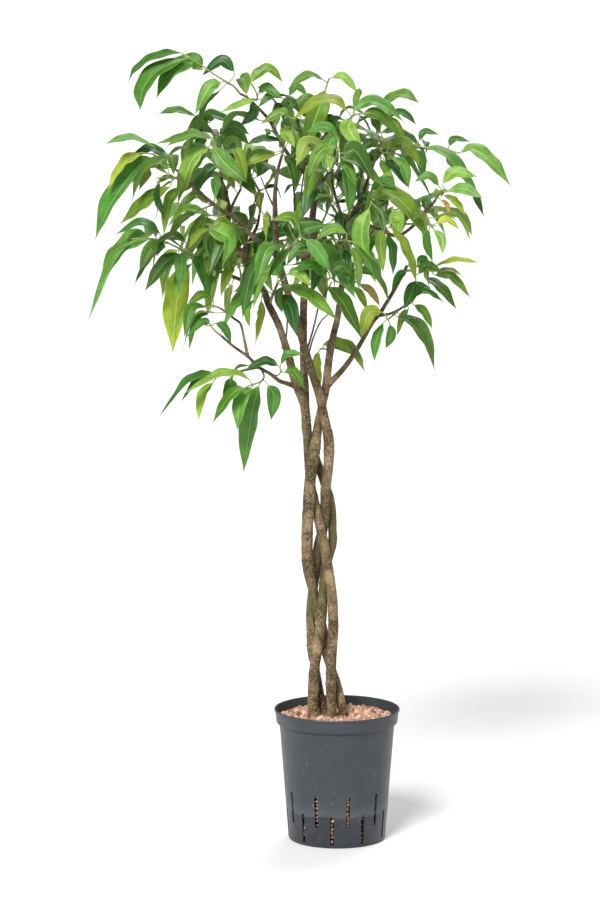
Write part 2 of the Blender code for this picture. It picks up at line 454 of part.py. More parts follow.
def tube(path, radii, sides):
    """Vertices and faces of a closed round tube along a path."""
    verts, faces = [], []
    across = (path[1] - path[0]).orthogonal().normalized()
    for i, point in enumerate(path):
        along = (path[min(i + 1, len(path) - 1)] - path[max(i - 1, 0)]).normalized()
        across = (across - along * across.dot(along)).normalized()
        other = along.cross(across)
        for k in range(sides):
            turn = 2 * math.pi * k / sides
            verts.append(point + (across * math.cos(turn) + other * math.sin(turn)) * radii[i])
    for i in range(len(path) - 1):
        for k in range(sides):
            a, b = i * sides + k, i * sides + (k + 1) % sides
            faces.append((a, b, b + sides, a + sides))
    faces.append(tuple(reversed(range(sides))))
    faces.append(tuple(range(len(verts) - sides, len(verts))))
    return verts, faces


def taper(first, last, count):
    """Radii that go evenly from the first to the last."""
    return [first + (last - first) * i / (count - 1) for i in range(count)]


class Leaf:
    """One blade on its petiole: a centre line from base to tip, a width, and the way its face looks."""

    def __init__(self, tone, points, width, face, swing_way):
        self.tone = tone
        self.points = points
        self.width = width
        self.face = face
        self.swing_way = swing_way
        self.root = points[0]

    def swung(self, way, amount):
        """The same leaf with its tip moved that way by the amount, and its middle by less."""
        last = len(self.points) - 1
        moved = [p + way * (amount * (i / last) ** 2) for i, p in enumerate(self.points)]
        leaf = Leaf(self.tone, moved, self.width, self.face, self.swing_way)
        leaf.root = self.root
        return leaf

    def mesh(self, grow=0.0, bare=False):
        """Vertices and faces of the blade with its petiole, or of the bare blade, grown by a margin."""
        steps = 20
        line = smooth_path(self.points, steps)
        verts, faces = [], []
        rings = []
        for share, width in SMALL_STATIONS if self.width < SMALL_WIDTH else STATIONS:
            i = round(share * steps)
            place = line[i]
            ahead = (line[min(i + 1, steps)] - line[max(i - 1, 0)]).normalized()
            side = ahead.cross(self.face).normalized()
            rings.append((place, ahead, side, self.width * width / 2 + grow, LEAF_THICK / 2 + grow))
        if not bare:
            place, ahead, side, half, thick = rings[0]
            stalk = (place - self.root).normalized()
            foot_side = ahead.rotation_difference(stalk) @ side
            foot_up = foot_side.cross(stalk)
            mitre = ahead.rotation_difference((ahead + stalk).normalized())
            rings[0] = (place, mitre @ ahead, mitre @ side, half, thick)
            for across, up in ((-0.87, 0.5), (0.87, 0.5), (0, -1)):
                verts.append(self.root + (foot_side * across + foot_up * up) * (PETIOLE_R + grow))
        first = len(verts)
        for place, ahead, side, half, thick in rings:
            up = side.cross(ahead).normalized()
            lift = up * (LEAF_FOLD * (half - PETIOLE_R))
            verts += [place - side * half + lift, place + up * thick]
            verts += [place + side * half + lift, place - up * thick]
        tip = len(verts)
        verts.append(line[-1] + (line[-1] - line[-2]).normalized() * grow)
        for a in range(first, tip - 4, 4):
            b = a + 4
            faces += [(a, b + 1, b), (a, a + 1, b + 1), (a + 1, b + 2, b + 1), (a + 1, a + 2, b + 2)]
            faces += [(a + 2, a + 3, b + 2), (a + 3, b + 3, b + 2), (a + 3, a, b + 3), (a, b, b + 3)]
        a = tip - 4
        faces += [(a, a + 1, tip), (a + 1, a + 2, tip), (a + 2, a + 3, tip), (a + 3, a, tip)]
        if bare:
            faces += [(0, 3, 1), (1, 3, 2)]
        else:
            faces += [(0, 2, 1), (0, 4, 3), (0, 1, 4), (1, 5, 4), (1, 2, 5), (2, 6, 5), (2, 0, 6), (0, 3, 6)]
        return verts, faces


def read_leaf(name, entry, route):
    """A leaf from its seen outline. Narrow means rolled edge-on, short means foreshortened.

    An entry is (tone, seen width, then its base, middle and tip as (x, z)).
    """
    tone, seen, *spots = entry
    flat = [placed(x, z, 0.0) for x, z in spots]
    base_depth = nearest_in_view(route, spots[0]).y
    length = sum((b - a).length for a, b in zip(flat, flat[1:]))
    swerve = random.Random(f"{name}{spots[-1]}").uniform(*SWERVE)
    real = max(length, seen / (LEAF_RATIO + 0.05))
    toward = swerve * length - math.sqrt(real * real - length * length)
    last = len(spots) - 1
    points = [placed(x, z, base_depth + toward * (i / last)) for i, (x, z) in enumerate(spots)]
    width = max(seen, LEAF_RATIO * real)
    sight = (points[0] - EYE).normalized()
    axis = (points[-1] - points[0]).normalized()
    flank = axis.cross(sight).normalized()
    roll = math.acos(min(1.0, seen / width))
    faces = [Matrix.Rotation(turn, 3, axis) @ flank for turn in (roll, -roll)]
    looks = [axis.cross(side) for side in faces]
    looks = [look if look.dot(sight) < 0 else -look for look in looks]
    face = max(looks, key=lambda look: look.z)
    return Leaf(tone, points, width, face, sight)


def nearest_in_view(route, spot):
    """The point of a twig's route that looks nearest to a spot of the reading plane."""
    best = None
    for point in smooth_path(route, 12 * (len(route) - 1)):
        seen = EYE + (point - EYE) * (-EYE.y / (point.y - EYE.y))
        gap = math.hypot(seen.x - spot[0], seen.z - spot[1])
        if best is None or gap < best[0]:
            best = (gap, point)
    return best[1]


def rule_leaves(route, count, seed):
    """Leaves set by turns on either side of a twig, the last at its end, hanging outward."""
    draw = random.Random(seed)
    line = smooth_path(route, 40)
    leaves = []
    for i in range(count):
        share = BARE_SHARE + (1 - BARE_SHARE) * i / (count - 1)
        place = line[round(share * 40)]
        ahead = (line[min(round(share * 40) + 1, 40)] - line[round(share * 40) - 1]).normalized()
        side = ahead.cross(UPWARD).normalized() * (1 if i % 2 else -1)
        spread = draw.uniform(*RULE_SPREAD) if i < count - 1 else 0.1
        way = (ahead + side * spread + UPWARD * draw.uniform(*RULE_LIFT)).normalized()
        length = draw.uniform(*RULE_LENGTH)
        base = place + way * 11
        middle = base + way * (length * 0.5)
        tip = base + way * (length * 0.86) - UPWARD * (length * draw.uniform(*RULE_HANG))
        face = Matrix.Rotation(draw.uniform(*RULE_ROLL), 3, way) @ UPWARD
        tone = draw.choice(RULE_TONES)
        leaves.append(Leaf(tone, [base, middle, tip], LEAF_RATIO * length * 0.9, face, side))
    return leaves


def rooted(leaf, route):
    """Sets the petiole's foot inside the twig, and the blade's base where one easy bend reaches it."""
    line = smooth_path(route, 12 * (len(route) - 1))[2:-1]
    foot, i = nearest_on(line, leaf.points[0])
    leaf.root = (foot + line[max(0, i - 1)]) / 2
    way = (leaf.points[1] - leaf.points[0]).normalized()
    arm = leaf.points[0] - leaf.root
    if arm.length < PETIOLE_MIN or arm.angle(way) > WIDEST_BEND:
        leaf.points[0] = leaf.root + way * max(PETIOLE_MIN, arm.length * 0.7)
    return leaf


class Layout:
    """Where every stem, branch, twig and leaf lies, worked out once, in millimetres."""

    def __init__(self):
        self.stems = {"stem_a": STEM_A, "stem_b": STEM_B, "stem_c": STEM_C, "stem_d": STEM_D}
        self.paths = {}
        self.trees = {}
        self.wood = {}
        for name, rows in self.stems.items():
            path = [placed(x, z, y) for x, z, y, radius in rows]
            self.paths[name] = path
            self.wood[name] = [tube(path, [row[3] for row in rows], STEM_SIDES)]
        for name, (stem, first, last, points) in BRANCHES.items():
            path = [placed(*point) for point in points]
            self.paths[name] = path
            self.wood[stem].append(tube(path, taper(first, last, len(path)), BRANCH_SIDES))
        for name, meshes in self.wood.items():
            self.trees[name] = [tree_of(mesh) for mesh in meshes]
        self.twigs = {}
        self.leaves = {}
        self.lay_twigs()
        self.lay_leaves()

    def lay_twigs(self):
        """Every twig, with its foot just clear of the branch it grows from."""
        for name, (branch, points, *rest) in {**SPRAYS, **FAR_SPRAYS}.items():
            ahead = [placed(*point) for point in points]
            foot, stretch = nearest_on(self.paths[branch], ahead[0])
            route = [foot, *ahead]
            line = smooth_path(route, len(route))
            stem = branch if branch in self.wood else BRANCHES[branch][0]
            line = clear_start(line, TWIG_R[0], self.trees[stem])
            self.twigs[name] = line
            self.trees[name] = [tree_of(tube(line, taper(*TWIG_R, len(line)), TWIG_SIDES))]

    def lay_leaves(self):
        """Every leaf, swung clear of whatever lay there first. One that finds no room is left off."""
        for name, (branch, points, *rest) in {**SPRAYS, **FAR_SPRAYS}.items():
            route = self.twigs[name]
            if name in SPRAYS:
                wanted = [read_leaf(name, entry, route) for entry in rest[0]]
            else:
                wanted = rule_leaves(route, *rest)
            own = []
            self.leaves[name] = []
            for leaf in wanted:
                found = self.clear_leaf(rooted(leaf, route), name, own)
                if found is None:
                    continue
                self.leaves[name].append(found)
                own.append(tree_of(found.mesh(bare=True)))
                self.trees[name].append(tree_of(found.mesh()))

    def clear_leaf(self, leaf, name, own):
        """The leaf with its tip swung as little as clears all else, or None where no swing does."""
        others = [tree for key, trees in self.trees.items() if key != name for tree in trees]
        for way, amount in [(leaf.swing_way, a) for a in SWINGS] + [(UPWARD, a) for a in SWINGS]:
            swung = leaf.swung(way, amount)
            whole = tree_of(swung.mesh(grow=CLEAR))
            blade = tree_of(swung.mesh(grow=CLEAR, bare=True))
            if any(whole.overlap(tree) for tree in others):
                continue
            if any(blade.overlap(tree) for tree in own):
                continue
            return swung
        return None


def tree_of(mesh):
    """A search tree of a mesh's faces."""
    verts, faces = mesh
    return BVHTree.FromPolygons(verts, faces)


def clear_start(line, radius, trees):
    """The line cut so that its first ring stands just clear of the wood around it."""
    run = smooth_path(line, 200)
    for i in range(len(run) - 1):
        along = (run[i + 1] - run[i]).normalized()
        across = along.orthogonal().normalized()
        turns = [Matrix.Rotation(2 * math.pi * k / 10, 3, along) for k in range(10)]
        ring = [run[i] + turn @ across * radius for turn in turns]
        if all(outside(point, tree) for tree in trees for point in [*ring, run[i]]):
            cut_off = (run[i] - line[0]).length + 2 * radius
            return [run[i]] + [point for point in line if (point - line[0]).length > cut_off]
    return line


def outside(point, tree):
    """Whether a point lies clear of a closed mesh, on the outer side of it."""
    place, normal, index, gap = tree.find_nearest(point)
    return gap > CLEAR and (point - place).dot(normal) > 0


def mesh_object(name, verts, faces, colour, roughness):
    """An object from millimetre vertices, with its own material."""
    data = bpy.data.meshes.new(name)
    data.from_pydata([tuple(v * MM) for v in verts], [], faces)
    data.update()
    finish = bpy.data.materials.new(name)
    finish.use_nodes = True
    shader = finish.node_tree.nodes["Principled BSDF"]
    shader.inputs["Base Color"].default_value = (*colour, 1)
    shader.inputs["Roughness"].default_value = roughness
    shader.inputs["Metallic"].default_value = 0.0
    data.materials.append(finish)
    data.shade_smooth()
    data.set_sharp_from_angle(angle=SMOOTH_UNDER)
    obj = bpy.data.objects.new(name, data)
    bpy.context.scene.collection.objects.link(obj)
    return obj


def fuse(name, meshes, colour, roughness, solver="EXACT"):
    """One solid from many overlapping ones, by a single union on a collection of them."""
    obj = mesh_object(name, *meshes[0], colour, roughness)
    group = bpy.data.collections.new(name + "_parts")
    bpy.context.scene.collection.children.link(group)
    for i, (verts, faces) in enumerate(meshes[1:]):
        piece = mesh_object(f"{name}_part_{i}", verts, faces, colour, roughness)
        bpy.context.scene.collection.objects.unlink(piece)
        group.objects.link(piece)
    join = obj.modifiers.new("Union", "BOOLEAN")
    join.operation = "UNION"
    join.operand_type = "COLLECTION"
    join.collection = group
    join.solver = solver
    apply_modifiers(obj)
    for piece in list(group.objects):
        bpy.data.objects.remove(piece)
    bpy.data.collections.remove(group)
    return obj


def apply_modifiers(obj):
    """Bakes an object's modifiers into its mesh, keeping the main body."""
    graph = bpy.context.evaluated_depsgraph_get()
    data = bpy.data.meshes.new_from_object(obj.evaluated_get(graph))
    obj.modifiers.clear()
    obj.data = data
    keep_main_body(data)


def keep_main_body(data):
    """Drops loose scraps, leaving the largest connected body, in triangles."""
    work = bmesh.new()
    work.from_mesh(data)
    bmesh.ops.triangulate(work, faces=work.faces[:])
    left = set(work.verts)
    bodies = []
    while left:
        seed = left.pop()
        body, edge = {seed}, [seed]
        while edge:
            vert = edge.pop()
            for link in vert.link_edges:
                other = link.other_vert(vert)
                if other in left:
                    left.discard(other)
                    body.add(other)
                    edge.append(other)
        bodies.append(body)
    largest = max(bodies, key=len)
    bmesh.ops.delete(work, geom=[v for v in work.verts if v not in largest], context="VERTS")
    work.to_mesh(data)
    work.free()
    data.shade_smooth()
    data.set_sharp_from_angle(angle=SMOOTH_UNDER)


def cut(obj, tools):
    """Takes the cutters out of an object, and hides them."""
    group = bpy.data.collections.new(obj.name + "_cutters")
    bpy.context.scene.collection.children.link(group)
    for tool in tools:
        bpy.context.scene.collection.objects.unlink(tool)
        group.objects.link(tool)
        tool.hide_render = True
        tool.display_type = "WIRE"
    away = obj.modifiers.new("Cut", "BOOLEAN")
    away.operation = "DIFFERENCE"
    away.operand_type = "COLLECTION"
    away.collection = group
    away.solver = "EXACT"
    apply_modifiers(obj)
    for tool in tools:
        bpy.data.objects.remove(tool)
    bpy.data.collections.remove(group)


def turned(name, profile, sides, colour, roughness):
    """A solid turned round the Z axis from (r, z) points that begin and end on the axis."""
    verts, faces, rings = [], [], []
    for r, z in profile:
        if r == 0:
            rings.append([len(verts)])
            verts.append(Vector((0, 0, z)))
            continue
        rings.append(list(range(len(verts), len(verts) + sides)))
        for k in range(sides):
            turn = 2 * math.pi * k / sides
            verts.append(Vector((r * math.cos(turn), r * math.sin(turn), z)))
    for low, high in zip(rings, rings[1:]):
        for k in range(sides):
            n = (k + 1) % sides
            if len(low) == 1:
                faces.append((low[0], high[n], high[k]))
            elif len(high) == 1:
                faces.append((low[k], low[n], high[0]))
            else:
                faces.append((low[k], low[n], high[n], high[k]))
    return mesh_object(name, verts, faces, colour, roughness)


def body_r(z):
    """The pot body's outer radius at a height."""
    return BASE_R + (BODY_TOP_R - BASE_R) * z / (POT_H - COLLAR_H)


def build_pot():
    """The culture pot: flat base, tapering body, collar under a rolled rim, and two rows of slots."""
    step = POT_H - COLLAR_H
    profile = [(0, 0), (BASE_R - BASE_FILLET, 0), (BASE_R - 0.8, 0.9), (body_r(BASE_FILLET), BASE_FILLET)]
    profile += [(BODY_TOP_R, step - 2), (COLLAR_FOOT_R, step), (RIM_R - 1.2, POT_H - 3), (RIM_R, POT_H - 2)]
    profile += [(RIM_R, POT_H - 0.6), (RIM_R - 0.8, POT_H), (RIM_R - RIM_LIP, POT_H - 0.2)]
    profile += [(RIM_R - RIM_LIP - 0.6, POT_H - 2), (COLLAR_FOOT_R - WALL, step + 3)]
    profile += [(BODY_TOP_R - WALL, step - 2)]
    profile += [(body_r(BASE_FILLET) - WALL, WALL), (0, WALL)]
    pot = turned("pot", profile, POT_SIDES, POT_COLOUR, 0.45)
    tools = []
    for first, low, high in SLOT_ROWS:
        for k in range(SLOTS_PER_ROW):
            tools.append(slot_cutter(math.radians(first + 360 / SLOTS_PER_ROW * k), low, high))
    cut(pot, tools)
    return pot


def slot_cutter(angle, low, high):
    """A block through the wall, its faces radial, at an angle from the front."""
    out = Vector((math.sin(angle), -math.cos(angle), 0))
    side = Vector((math.cos(angle), math.sin(angle), 0)) * (SLOT_W / 2)
    near, far = out * (body_r(low) - WALL - 4), out * (body_r(high) + 4)
    verts = []
    for z in (low, high):
        for foot in (near - side, near + side, far + side, far - side):
            verts.append(foot + Vector((0, 0, z)))
    faces = [(0, 1, 2, 3), (7, 6, 5, 4), (4, 5, 1, 0), (5, 6, 2, 1), (6, 7, 3, 2), (7, 4, 0, 3)]
    return mesh_object("slot_cutter", verts, faces, CUTTER_COLOUR, 0.5)


def pebble_spots():
    """Middles of the pebbles on the granules' surface: a hexagonal net, each knocked out of line."""
    draw = random.Random(PEBBLE_SEED)
    reach = RIM_R - WALL - PEBBLE * 0.5
    spots = []
    row_step = PEBBLE * math.sin(math.radians(60))
    rows = int(reach / row_step) + 1
    for row in range(-rows, rows + 1):
        for col in range(-rows, rows + 1):
            x = (col + 0.5 * (row % 2)) * PEBBLE + draw.uniform(-1, 1) * PEBBLE * PEBBLE_STRAY
            y = row * row_step + draw.uniform(-1, 1) * PEBBLE * PEBBLE_STRAY
            rise = draw.uniform(0.55, 1.0) * PEBBLE_RISE
            if math.hypot(x, y) < reach:
                spots.append((x, y, rise))
    return spots


def fill_r(z):
    """The granules' radius at a height, just clear of the pot's inner wall."""
    low, high = 4.0, POT_H - COLLAR_H - 2
    if z <= high:
        widening = (BODY_TOP_R - body_r(BASE_FILLET)) * (z - low) / (high - low)
        return body_r(BASE_FILLET) - WALL - FILL_GAP + widening
    share = min(1.0, (z - high) / 5)
    return BODY_TOP_R - WALL - FILL_GAP + share * (COLLAR_FOOT_R - BODY_TOP_R) + max(0, z - high - 5) * 0.06


def build_granules(stems):
    """The filling of the pot: a round body, its top a field of domed pebbles, with a hole for each stem."""
    edge = fill_r(FILL_Z)
    points, heights = [], []
    for x, y, rise in pebble_spots():
        for k in range(5):
            turn = math.radians(72 * k + 40 * rise)
            arm = PEBBLE * PEBBLE_CROWN
            points.append((x + arm * math.cos(turn), y + arm * math.sin(turn)))
            heights.append(FILL_Z + rise + PEBBLE_TILT * math.cos(turn + rise))
        for k in range(3):
            turn = math.radians(60 * k + 30)
            arm = PEBBLE * PEBBLE_SKIRT
            low = Vector((x + arm * math.cos(turn), y + arm * math.sin(turn)))
            if low.length < edge - 3:
                points.append(tuple(low))
                heights.append(FILL_Z - GAP_DROP)
    first = len(points)
    for k in range(FILL_SIDES):
        turn = 2 * math.pi * k / FILL_SIDES
        points.append((edge * math.cos(turn), edge * math.sin(turn)))
        heights.append(FILL_Z - EDGE_DROP)
    rim = [(first + k, first + (k + 1) % FILL_SIDES) for k in range(FILL_SIDES)]
    net = delaunay_2d_cdt([Vector(p) for p in points], rim, [], 1, 0.01)
    flat, faces, origins = net[0], net[2], net[3]
    levels = [heights[min(come)] if come else FILL_Z for come in origins]
    verts = [Vector((spot.x, spot.y, level)) for spot, level in zip(flat, levels)]
    faces = [tuple(face) for face in faces]
    last = [next(i for i, come in enumerate(origins) if first + k in come) for k in range(FILL_SIDES)]
    for z in (FILL_Z - 5, POT_H - COLLAR_H - 2, WALL + FILL_GAP):
        ring = list(range(len(verts), len(verts) + FILL_SIDES))
        for k in range(FILL_SIDES):
            turn = 2 * math.pi * k / FILL_SIDES
            verts.append(Vector((fill_r(z) * math.cos(turn), fill_r(z) * math.sin(turn), z)))
        for k in range(FILL_SIDES):
            n = (k + 1) % FILL_SIDES
            faces.append((ring[k], ring[n], last[n], last[k]))
        last = ring
    faces.append(tuple(reversed(last)))
    granules = mesh_object("clay_granules", verts, faces, CLAY_COLOUR, 0.9)
    holes = []
    for name, rows in stems.items():
        low = [row for row in rows if row[1] < 240]
        path = [placed(x, z, y) for x, z, y, radius in low]
        path[0] = path[0] - Vector((0, 0, CLEAR))
        verts, faces = tube(path, [row[3] + HOLE_CLEAR for row in low], STEM_SIDES)
        holes.append(mesh_object(name + "_hole", verts, faces, CUTTER_COLOUR, 0.5))
    cut(granules, holes)
    return granules


def build_stems(layout):
    """One solid for each strand of the trunk with the branches that grow from it."""
    for name, meshes in layout.wood.items():
        fuse(name, meshes, BARK[name], 0.85)


def build_sprays(layout):
    """One solid for each twig and its leaves, in the mean colour of its leaves."""
    for name, line in layout.twigs.items():
        leaves = layout.leaves[name]
        meshes = [tube(line, taper(*TWIG_R, len(line)), TWIG_SIDES)]
        meshes += [leaf.mesh() for leaf in leaves]
        mean = [sum(TONES[leaf.tone][i] for leaf in leaves) / len(leaves) for i in range(3)]
        fuse(name, meshes, mean, 0.42, "MANIFOLD")


def main():
    """Builds every solid into the empty scene, and returns the layout they were made from."""
    for obj in list(bpy.data.objects):
        bpy.data.objects.remove(obj)
    layout = Layout()
    build_pot()
    build_granules(layout.stems)
    build_stems(layout)
    build_sprays(layout)
    return layout


if __name__ == "__main__":
    main()
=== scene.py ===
"""Dresses the potted ficus: waxy drooping leaves, braided bark, clay granules and a slotted culture pot.

Sizes in the classes are in millimetres and meshes are made in metres, in the frame's own axes: the origin
is the middle of the pot's base, +Z is up and the front of the plant faces -Y. Places in the plant are
written as (x, z, y): x and z are read on an upright plane through the pot's axis as seen from EYE, and y is
the depth that the place is slid to along the line of sight.
"""

import logging
import math
import random
from dataclasses import dataclass, field
from enum import Enum
from typing import Callable, Optional, Sequence

import bmesh
import bpy
from mathutils import Matrix, Vector, noise
from mathutils.bvhtree import BVHTree


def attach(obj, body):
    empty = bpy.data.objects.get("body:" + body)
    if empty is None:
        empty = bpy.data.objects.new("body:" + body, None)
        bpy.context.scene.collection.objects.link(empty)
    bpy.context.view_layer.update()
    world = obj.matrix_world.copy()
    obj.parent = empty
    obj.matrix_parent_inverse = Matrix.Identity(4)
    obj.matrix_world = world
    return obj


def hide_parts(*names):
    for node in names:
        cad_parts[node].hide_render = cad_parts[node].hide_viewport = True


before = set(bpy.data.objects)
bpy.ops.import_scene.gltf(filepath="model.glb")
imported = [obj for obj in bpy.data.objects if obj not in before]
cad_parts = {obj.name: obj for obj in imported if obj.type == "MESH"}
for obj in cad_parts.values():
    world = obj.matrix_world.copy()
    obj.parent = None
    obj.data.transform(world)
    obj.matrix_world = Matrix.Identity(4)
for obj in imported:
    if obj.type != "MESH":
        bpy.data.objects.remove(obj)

LOG = logging.getLogger("ficus")
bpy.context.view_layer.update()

MM = 0.001
EYE = Vector((-53.0, -5000.0, 1270.0))
UPWARD = Vector((0, 0, 1))
CLEAR = 0.35

Mesh = tuple[list[Vector], list[tuple[int, ...]]]
Rows = Sequence[tuple[float, float, float, float]]
Spot = tuple[float, ...]
Colour = tuple[float, float, float]


class Tone(Enum):
    """The leaf colours, by the letter that each leaf of the tables carries."""

    # Partly a darker leaf green, partly painted shade on leaves that lie in shadow
    DARK = "d"
    GREEN = "g"
    # Partly a paler leaf green, partly painted sheen on leaves that face the light
    LIGHT = "l"
    OLIVE = "o"
    # Partly a yellowing leaf green, partly painted light shining through the blade
    LIME = "y"
    YOUNG = "b"


# The four strands of the trunk: (x, z, y, radius)
STEM_A = (
    (-34, 120, 0, 8.5), (-34, 175, 0, 8.5), (-33.6, 220, 0, 8.2), (-32, 250, -3, 7.9),
    (-27.8, 277, -4, 7.7), (-24.6, 300, -5, 7.4), (-21.4, 325, -5, 7.4), (-20.5, 350, -1, 6.9),
    (-19, 375, 7, 6.8), (-15, 400, 9, 7), (-7, 428, 12, 6.6), (-6.8, 450, 18, 6.2),
    (-7.3, 468, 24, 6.4), (-10, 490, 22, 6.6), (-15, 507, 17, 6.6), (-23, 530, 15, 6.6),
    (-30.5, 550, 17, 6.6), (-37.5, 570, 18, 6.5), (-44, 590, 14, 6.4), (-45, 620, 10, 6.1),
    (-46, 645, 8, 6), (-47.3, 675, 7, 5.7), (-48, 700, 6.5, 5.5), (-48, 730, 7, 5.4),
    (-48, 765, 7, 5.3), (-46, 800, 8, 5.2), (-43, 840, 10, 5.1), (-38, 870, 12, 5), (-34, 905, 14, 4.6),
    (-31, 925, 15, 4),
)
STEM_B = (
    (-16, 120, 13, 6.5), (-17, 175, 13, 6.5), (-22.5, 200, 14, 6.5), (-27.5, 225, 15, 6.6),
    (-32, 252, 15, 6.8), (-36, 275, 14, 7), (-37, 300, 15.5, 7), (-37.5, 325, 22.5, 7),
    (-36, 350, 27, 7), (-32.5, 375, 19, 7), (-29, 400, 15, 7.2), (-27, 425, 13, 7.2),
    (-21.5, 445, 12, 7.2), (-18, 465, 13, 7.2), (-17, 490, 7, 7.3), (-16.8, 507, -1, 7.3),
    (-13.5, 530, -3, 7.3), (-12, 555, -2, 7.6), (-12.4, 577, -3, 7.6), (-15.4, 597, -7, 6.9),
    (-21.6, 625, -9, 6.5), (-28, 650, -8.5, 6.2), (-36, 675, -8, 6), (-44, 700, -7.5, 5.8),
    (-51, 725, -6.5, 5.6), (-58, 750, -5, 5.4), (-68, 780, -8, 5.2), (-77, 810, -14, 5),
    (-85, 840, -20, 4.8), (-87, 870, -25, 4.4), (-88, 900, -32, 3.8), (-88, 930, -40, 3),
    (-84, 960, -44, 2.4), (-78, 982, -42, 2),
)
STEM_C = (
    (-7, 120, -5, 7), (-7, 175, -5, 7), (-8.6, 215, -5, 7.5), (-8.6, 250, -7, 7.8),
    (-7.2, 278, -7, 7.5), (-5.3, 310, -7, 7.5), (-6.2, 340, -9, 7.5), (-9.5, 372, -9, 7.4),
    (-14, 400, -9, 7.4), (-18.2, 425, -8, 7.3), (-23, 447, -6, 7), (-27, 465, -1, 6.8),
    (-32.5, 490, 6, 6.6), (-36.5, 507, 8, 6.5), (-40, 530, 9, 6.4), (-41, 550, 7.5, 6.4),
    (-42, 570, 4.5, 6.4), (-43, 597, -3, 6.6), (-46.5, 628, -6, 7), (-54, 650, -7, 7.8),
    (-62, 670, -7, 6.8), (-70, 700, -8, 5.6), (-80, 733, -6, 5.3), (-88, 752, -4, 5.1),
    (-97, 770, 0, 5), (-104, 790, 5, 4.9), (-118, 810, 8, 4.7), (-130, 835, 12, 4.5),
    (-142, 853, 16, 4.3), (-150, 868, 20, 4.1), (-155, 885, 24, 3.8), (-153, 905, 28, 3.4),
    (-158, 930, 34, 3), (-165, 950, 40, 2.6),
)
STEM_D = (
    (10, 120, 2, 6.5), (9.5, 175, 4, 6.5), (4.5, 205, 8, 6.5), (-1, 227, 10, 6.5), (-8, 247, 11, 6.6),
    (-14, 264, 12, 6.6), (-17.4, 285, 13, 6.6), (-20, 304, 13.5, 6.7), (-26, 325, 12.5, 7),
    (-32, 350, 10.5, 7.2), (-37.5, 375, -3, 7.8), (-41.8, 400, -4, 8.4), (-43, 430, -4, 8.5),
    (-42, 462, -9, 8.5), (-40.4, 490, -10, 8.5), (-39, 515, -9.5, 8.5), (-36.2, 540, -8.5, 8.5),
    (-32.8, 560, -7, 8.1), (-29.4, 585, -4, 7.1), (-26, 605, 4, 6.3), (-22, 625, 6.5, 6),
    (-17, 650, 6, 6), (-14, 675, 5, 5.7), (-11, 700, 4, 5.5), (-5, 730, 2, 5), (0, 752, 0, 4.6),
    (5, 790, -4, 4.3), (10, 830, -7, 4), (10, 870, -8, 3.6), (8, 890, -9, 3.2),
)

# Side branches: name: (stem, first and last radius, (x, z, y) points; the first lies inside the stem)
BRANCHES = {
    "a_long_top": ("stem_a", 3.6, 1.7, ((-31, 925, 15), (-35, 938, 14), (-48, 958, 12), (-60, 970, 10),
                   (-76, 992, 6), (-90, 1019, 0), (-100, 1035, -4), (-125, 1060, -12), (-137, 1067, -16))),
    "a_upright": ("stem_a", 3.2, 2.0, ((-31, 925, 15), (-32, 952, 20), (-34, 975, 26), (-35, 992, 30))),
    "a_right": ("stem_a", 3.0, 1.9, ((-31, 922, 15), (-22, 944, 12), (-11, 951, 6), (2, 952, 0))),
    "a_dark_top": ("stem_a", 2.6, 1.7, ((-48, 958, 12), (-46, 984, 6), (-35, 999, 0), (-15, 1005, -8),
                   (8, 1008, -14))),
    "a_back": ("stem_a", 3.4, 2.0, ((-46, 806, 8), (-44, 832, 34), (-34, 862, 66), (-22, 886, 96))),
    "b_left": ("stem_b", 3.9, 1.9, ((-85, 840, -20), (-105, 855, -30), (-121, 868, -38), (-135, 884, -44),
               (-148, 895, -49), (-165, 905, -54), (-190, 925, -62), (-212, 945, -70), (-226, 960, -75))),
    "b_front": ("stem_b", 2.8, 1.8, ((-80, 820, -16), (-75, 836, -58), (-66, 853, -108))),
    "c_low_left": ("stem_c", 3.4, 1.8, ((-55, 652, -8), (-70, 658, -16), (-82, 662, -22), (-95, 672, -30),
                   (-112, 682, -36), (-127, 697, -38), (-148, 712, -42), (-164, 726, -46))),
    "c_low_side": ("stem_c", 2.0, 1.6, ((-112, 682, -36), (-129, 678, -46), (-144, 674, -54))),
    "c_low_up": ("stem_c", 2.0, 1.6, ((-127, 697, -38), (-132, 722, -30), (-137, 743, -24), (-148, 752, -18),
                 (-163, 764, -10))),
    "c_far_left": ("stem_c", 3.2, 1.8, ((-109, 795, 6), (-135, 805, 20), (-160, 815, 32), (-181, 825, 42),
                   (-199, 835, 50))),
    "c_back": ("stem_c", 3.0, 1.9, ((-130, 838, 12), (-123, 862, 34), (-114, 880, 56), (-110, 898, 76))),
    "c_front": ("stem_c", 2.4, 1.7, ((-97, 770, 0), (-91, 785, -30), (-85, 800, -62))),
    "c_top_right": ("stem_c", 2.2, 1.6, ((-153, 900, 27), (-145, 917, 42), (-136, 934, 58))),
    "d_right": ("stem_d", 4.0, 2.4, ((-15, 655, 5), (9, 680, 12), (30, 711, 20), (49, 745, 26),
                (59, 757, 29), (72, 778, 33), (85, 800, 37), (98, 826, 42))),
    "d_low_right": ("stem_d", 2.2, 1.6, ((57, 755, 29), (72, 757, 18), (86, 763, 8), (96, 770, 0))),
    "d_crown_right": ("stem_d", 3.0, 2.0, ((8, 880, -9), (30, 886, -22), (58, 877, -34), (85, 868, -44),
                      (112, 887, -52), (125, 904, -56), (137, 917, -58))),
    "d_up": ("stem_d", 2.8, 1.9, ((8, 884, -9), (26, 908, 0), (38, 934, 12), (50, 970, 24), (60, 997, 32))),
    "d_far_right": ("stem_d", 2.2, 1.5, ((54, 980, 27), (76, 992, 30), (100, 993, 32), (120, 991, 34),
                    (144, 988, 36))),
    "d_up_left": ("stem_d", 2.6, 1.7, ((8, 884, -9), (2, 906, -36), (-6, 934, -70), (-10, 958, -98))),
    "d_back": ("stem_d", 3.2, 2.0, ((6, 795, -4), (20, 824, 24), (36, 850, 56), (48, 872, 88))),
}

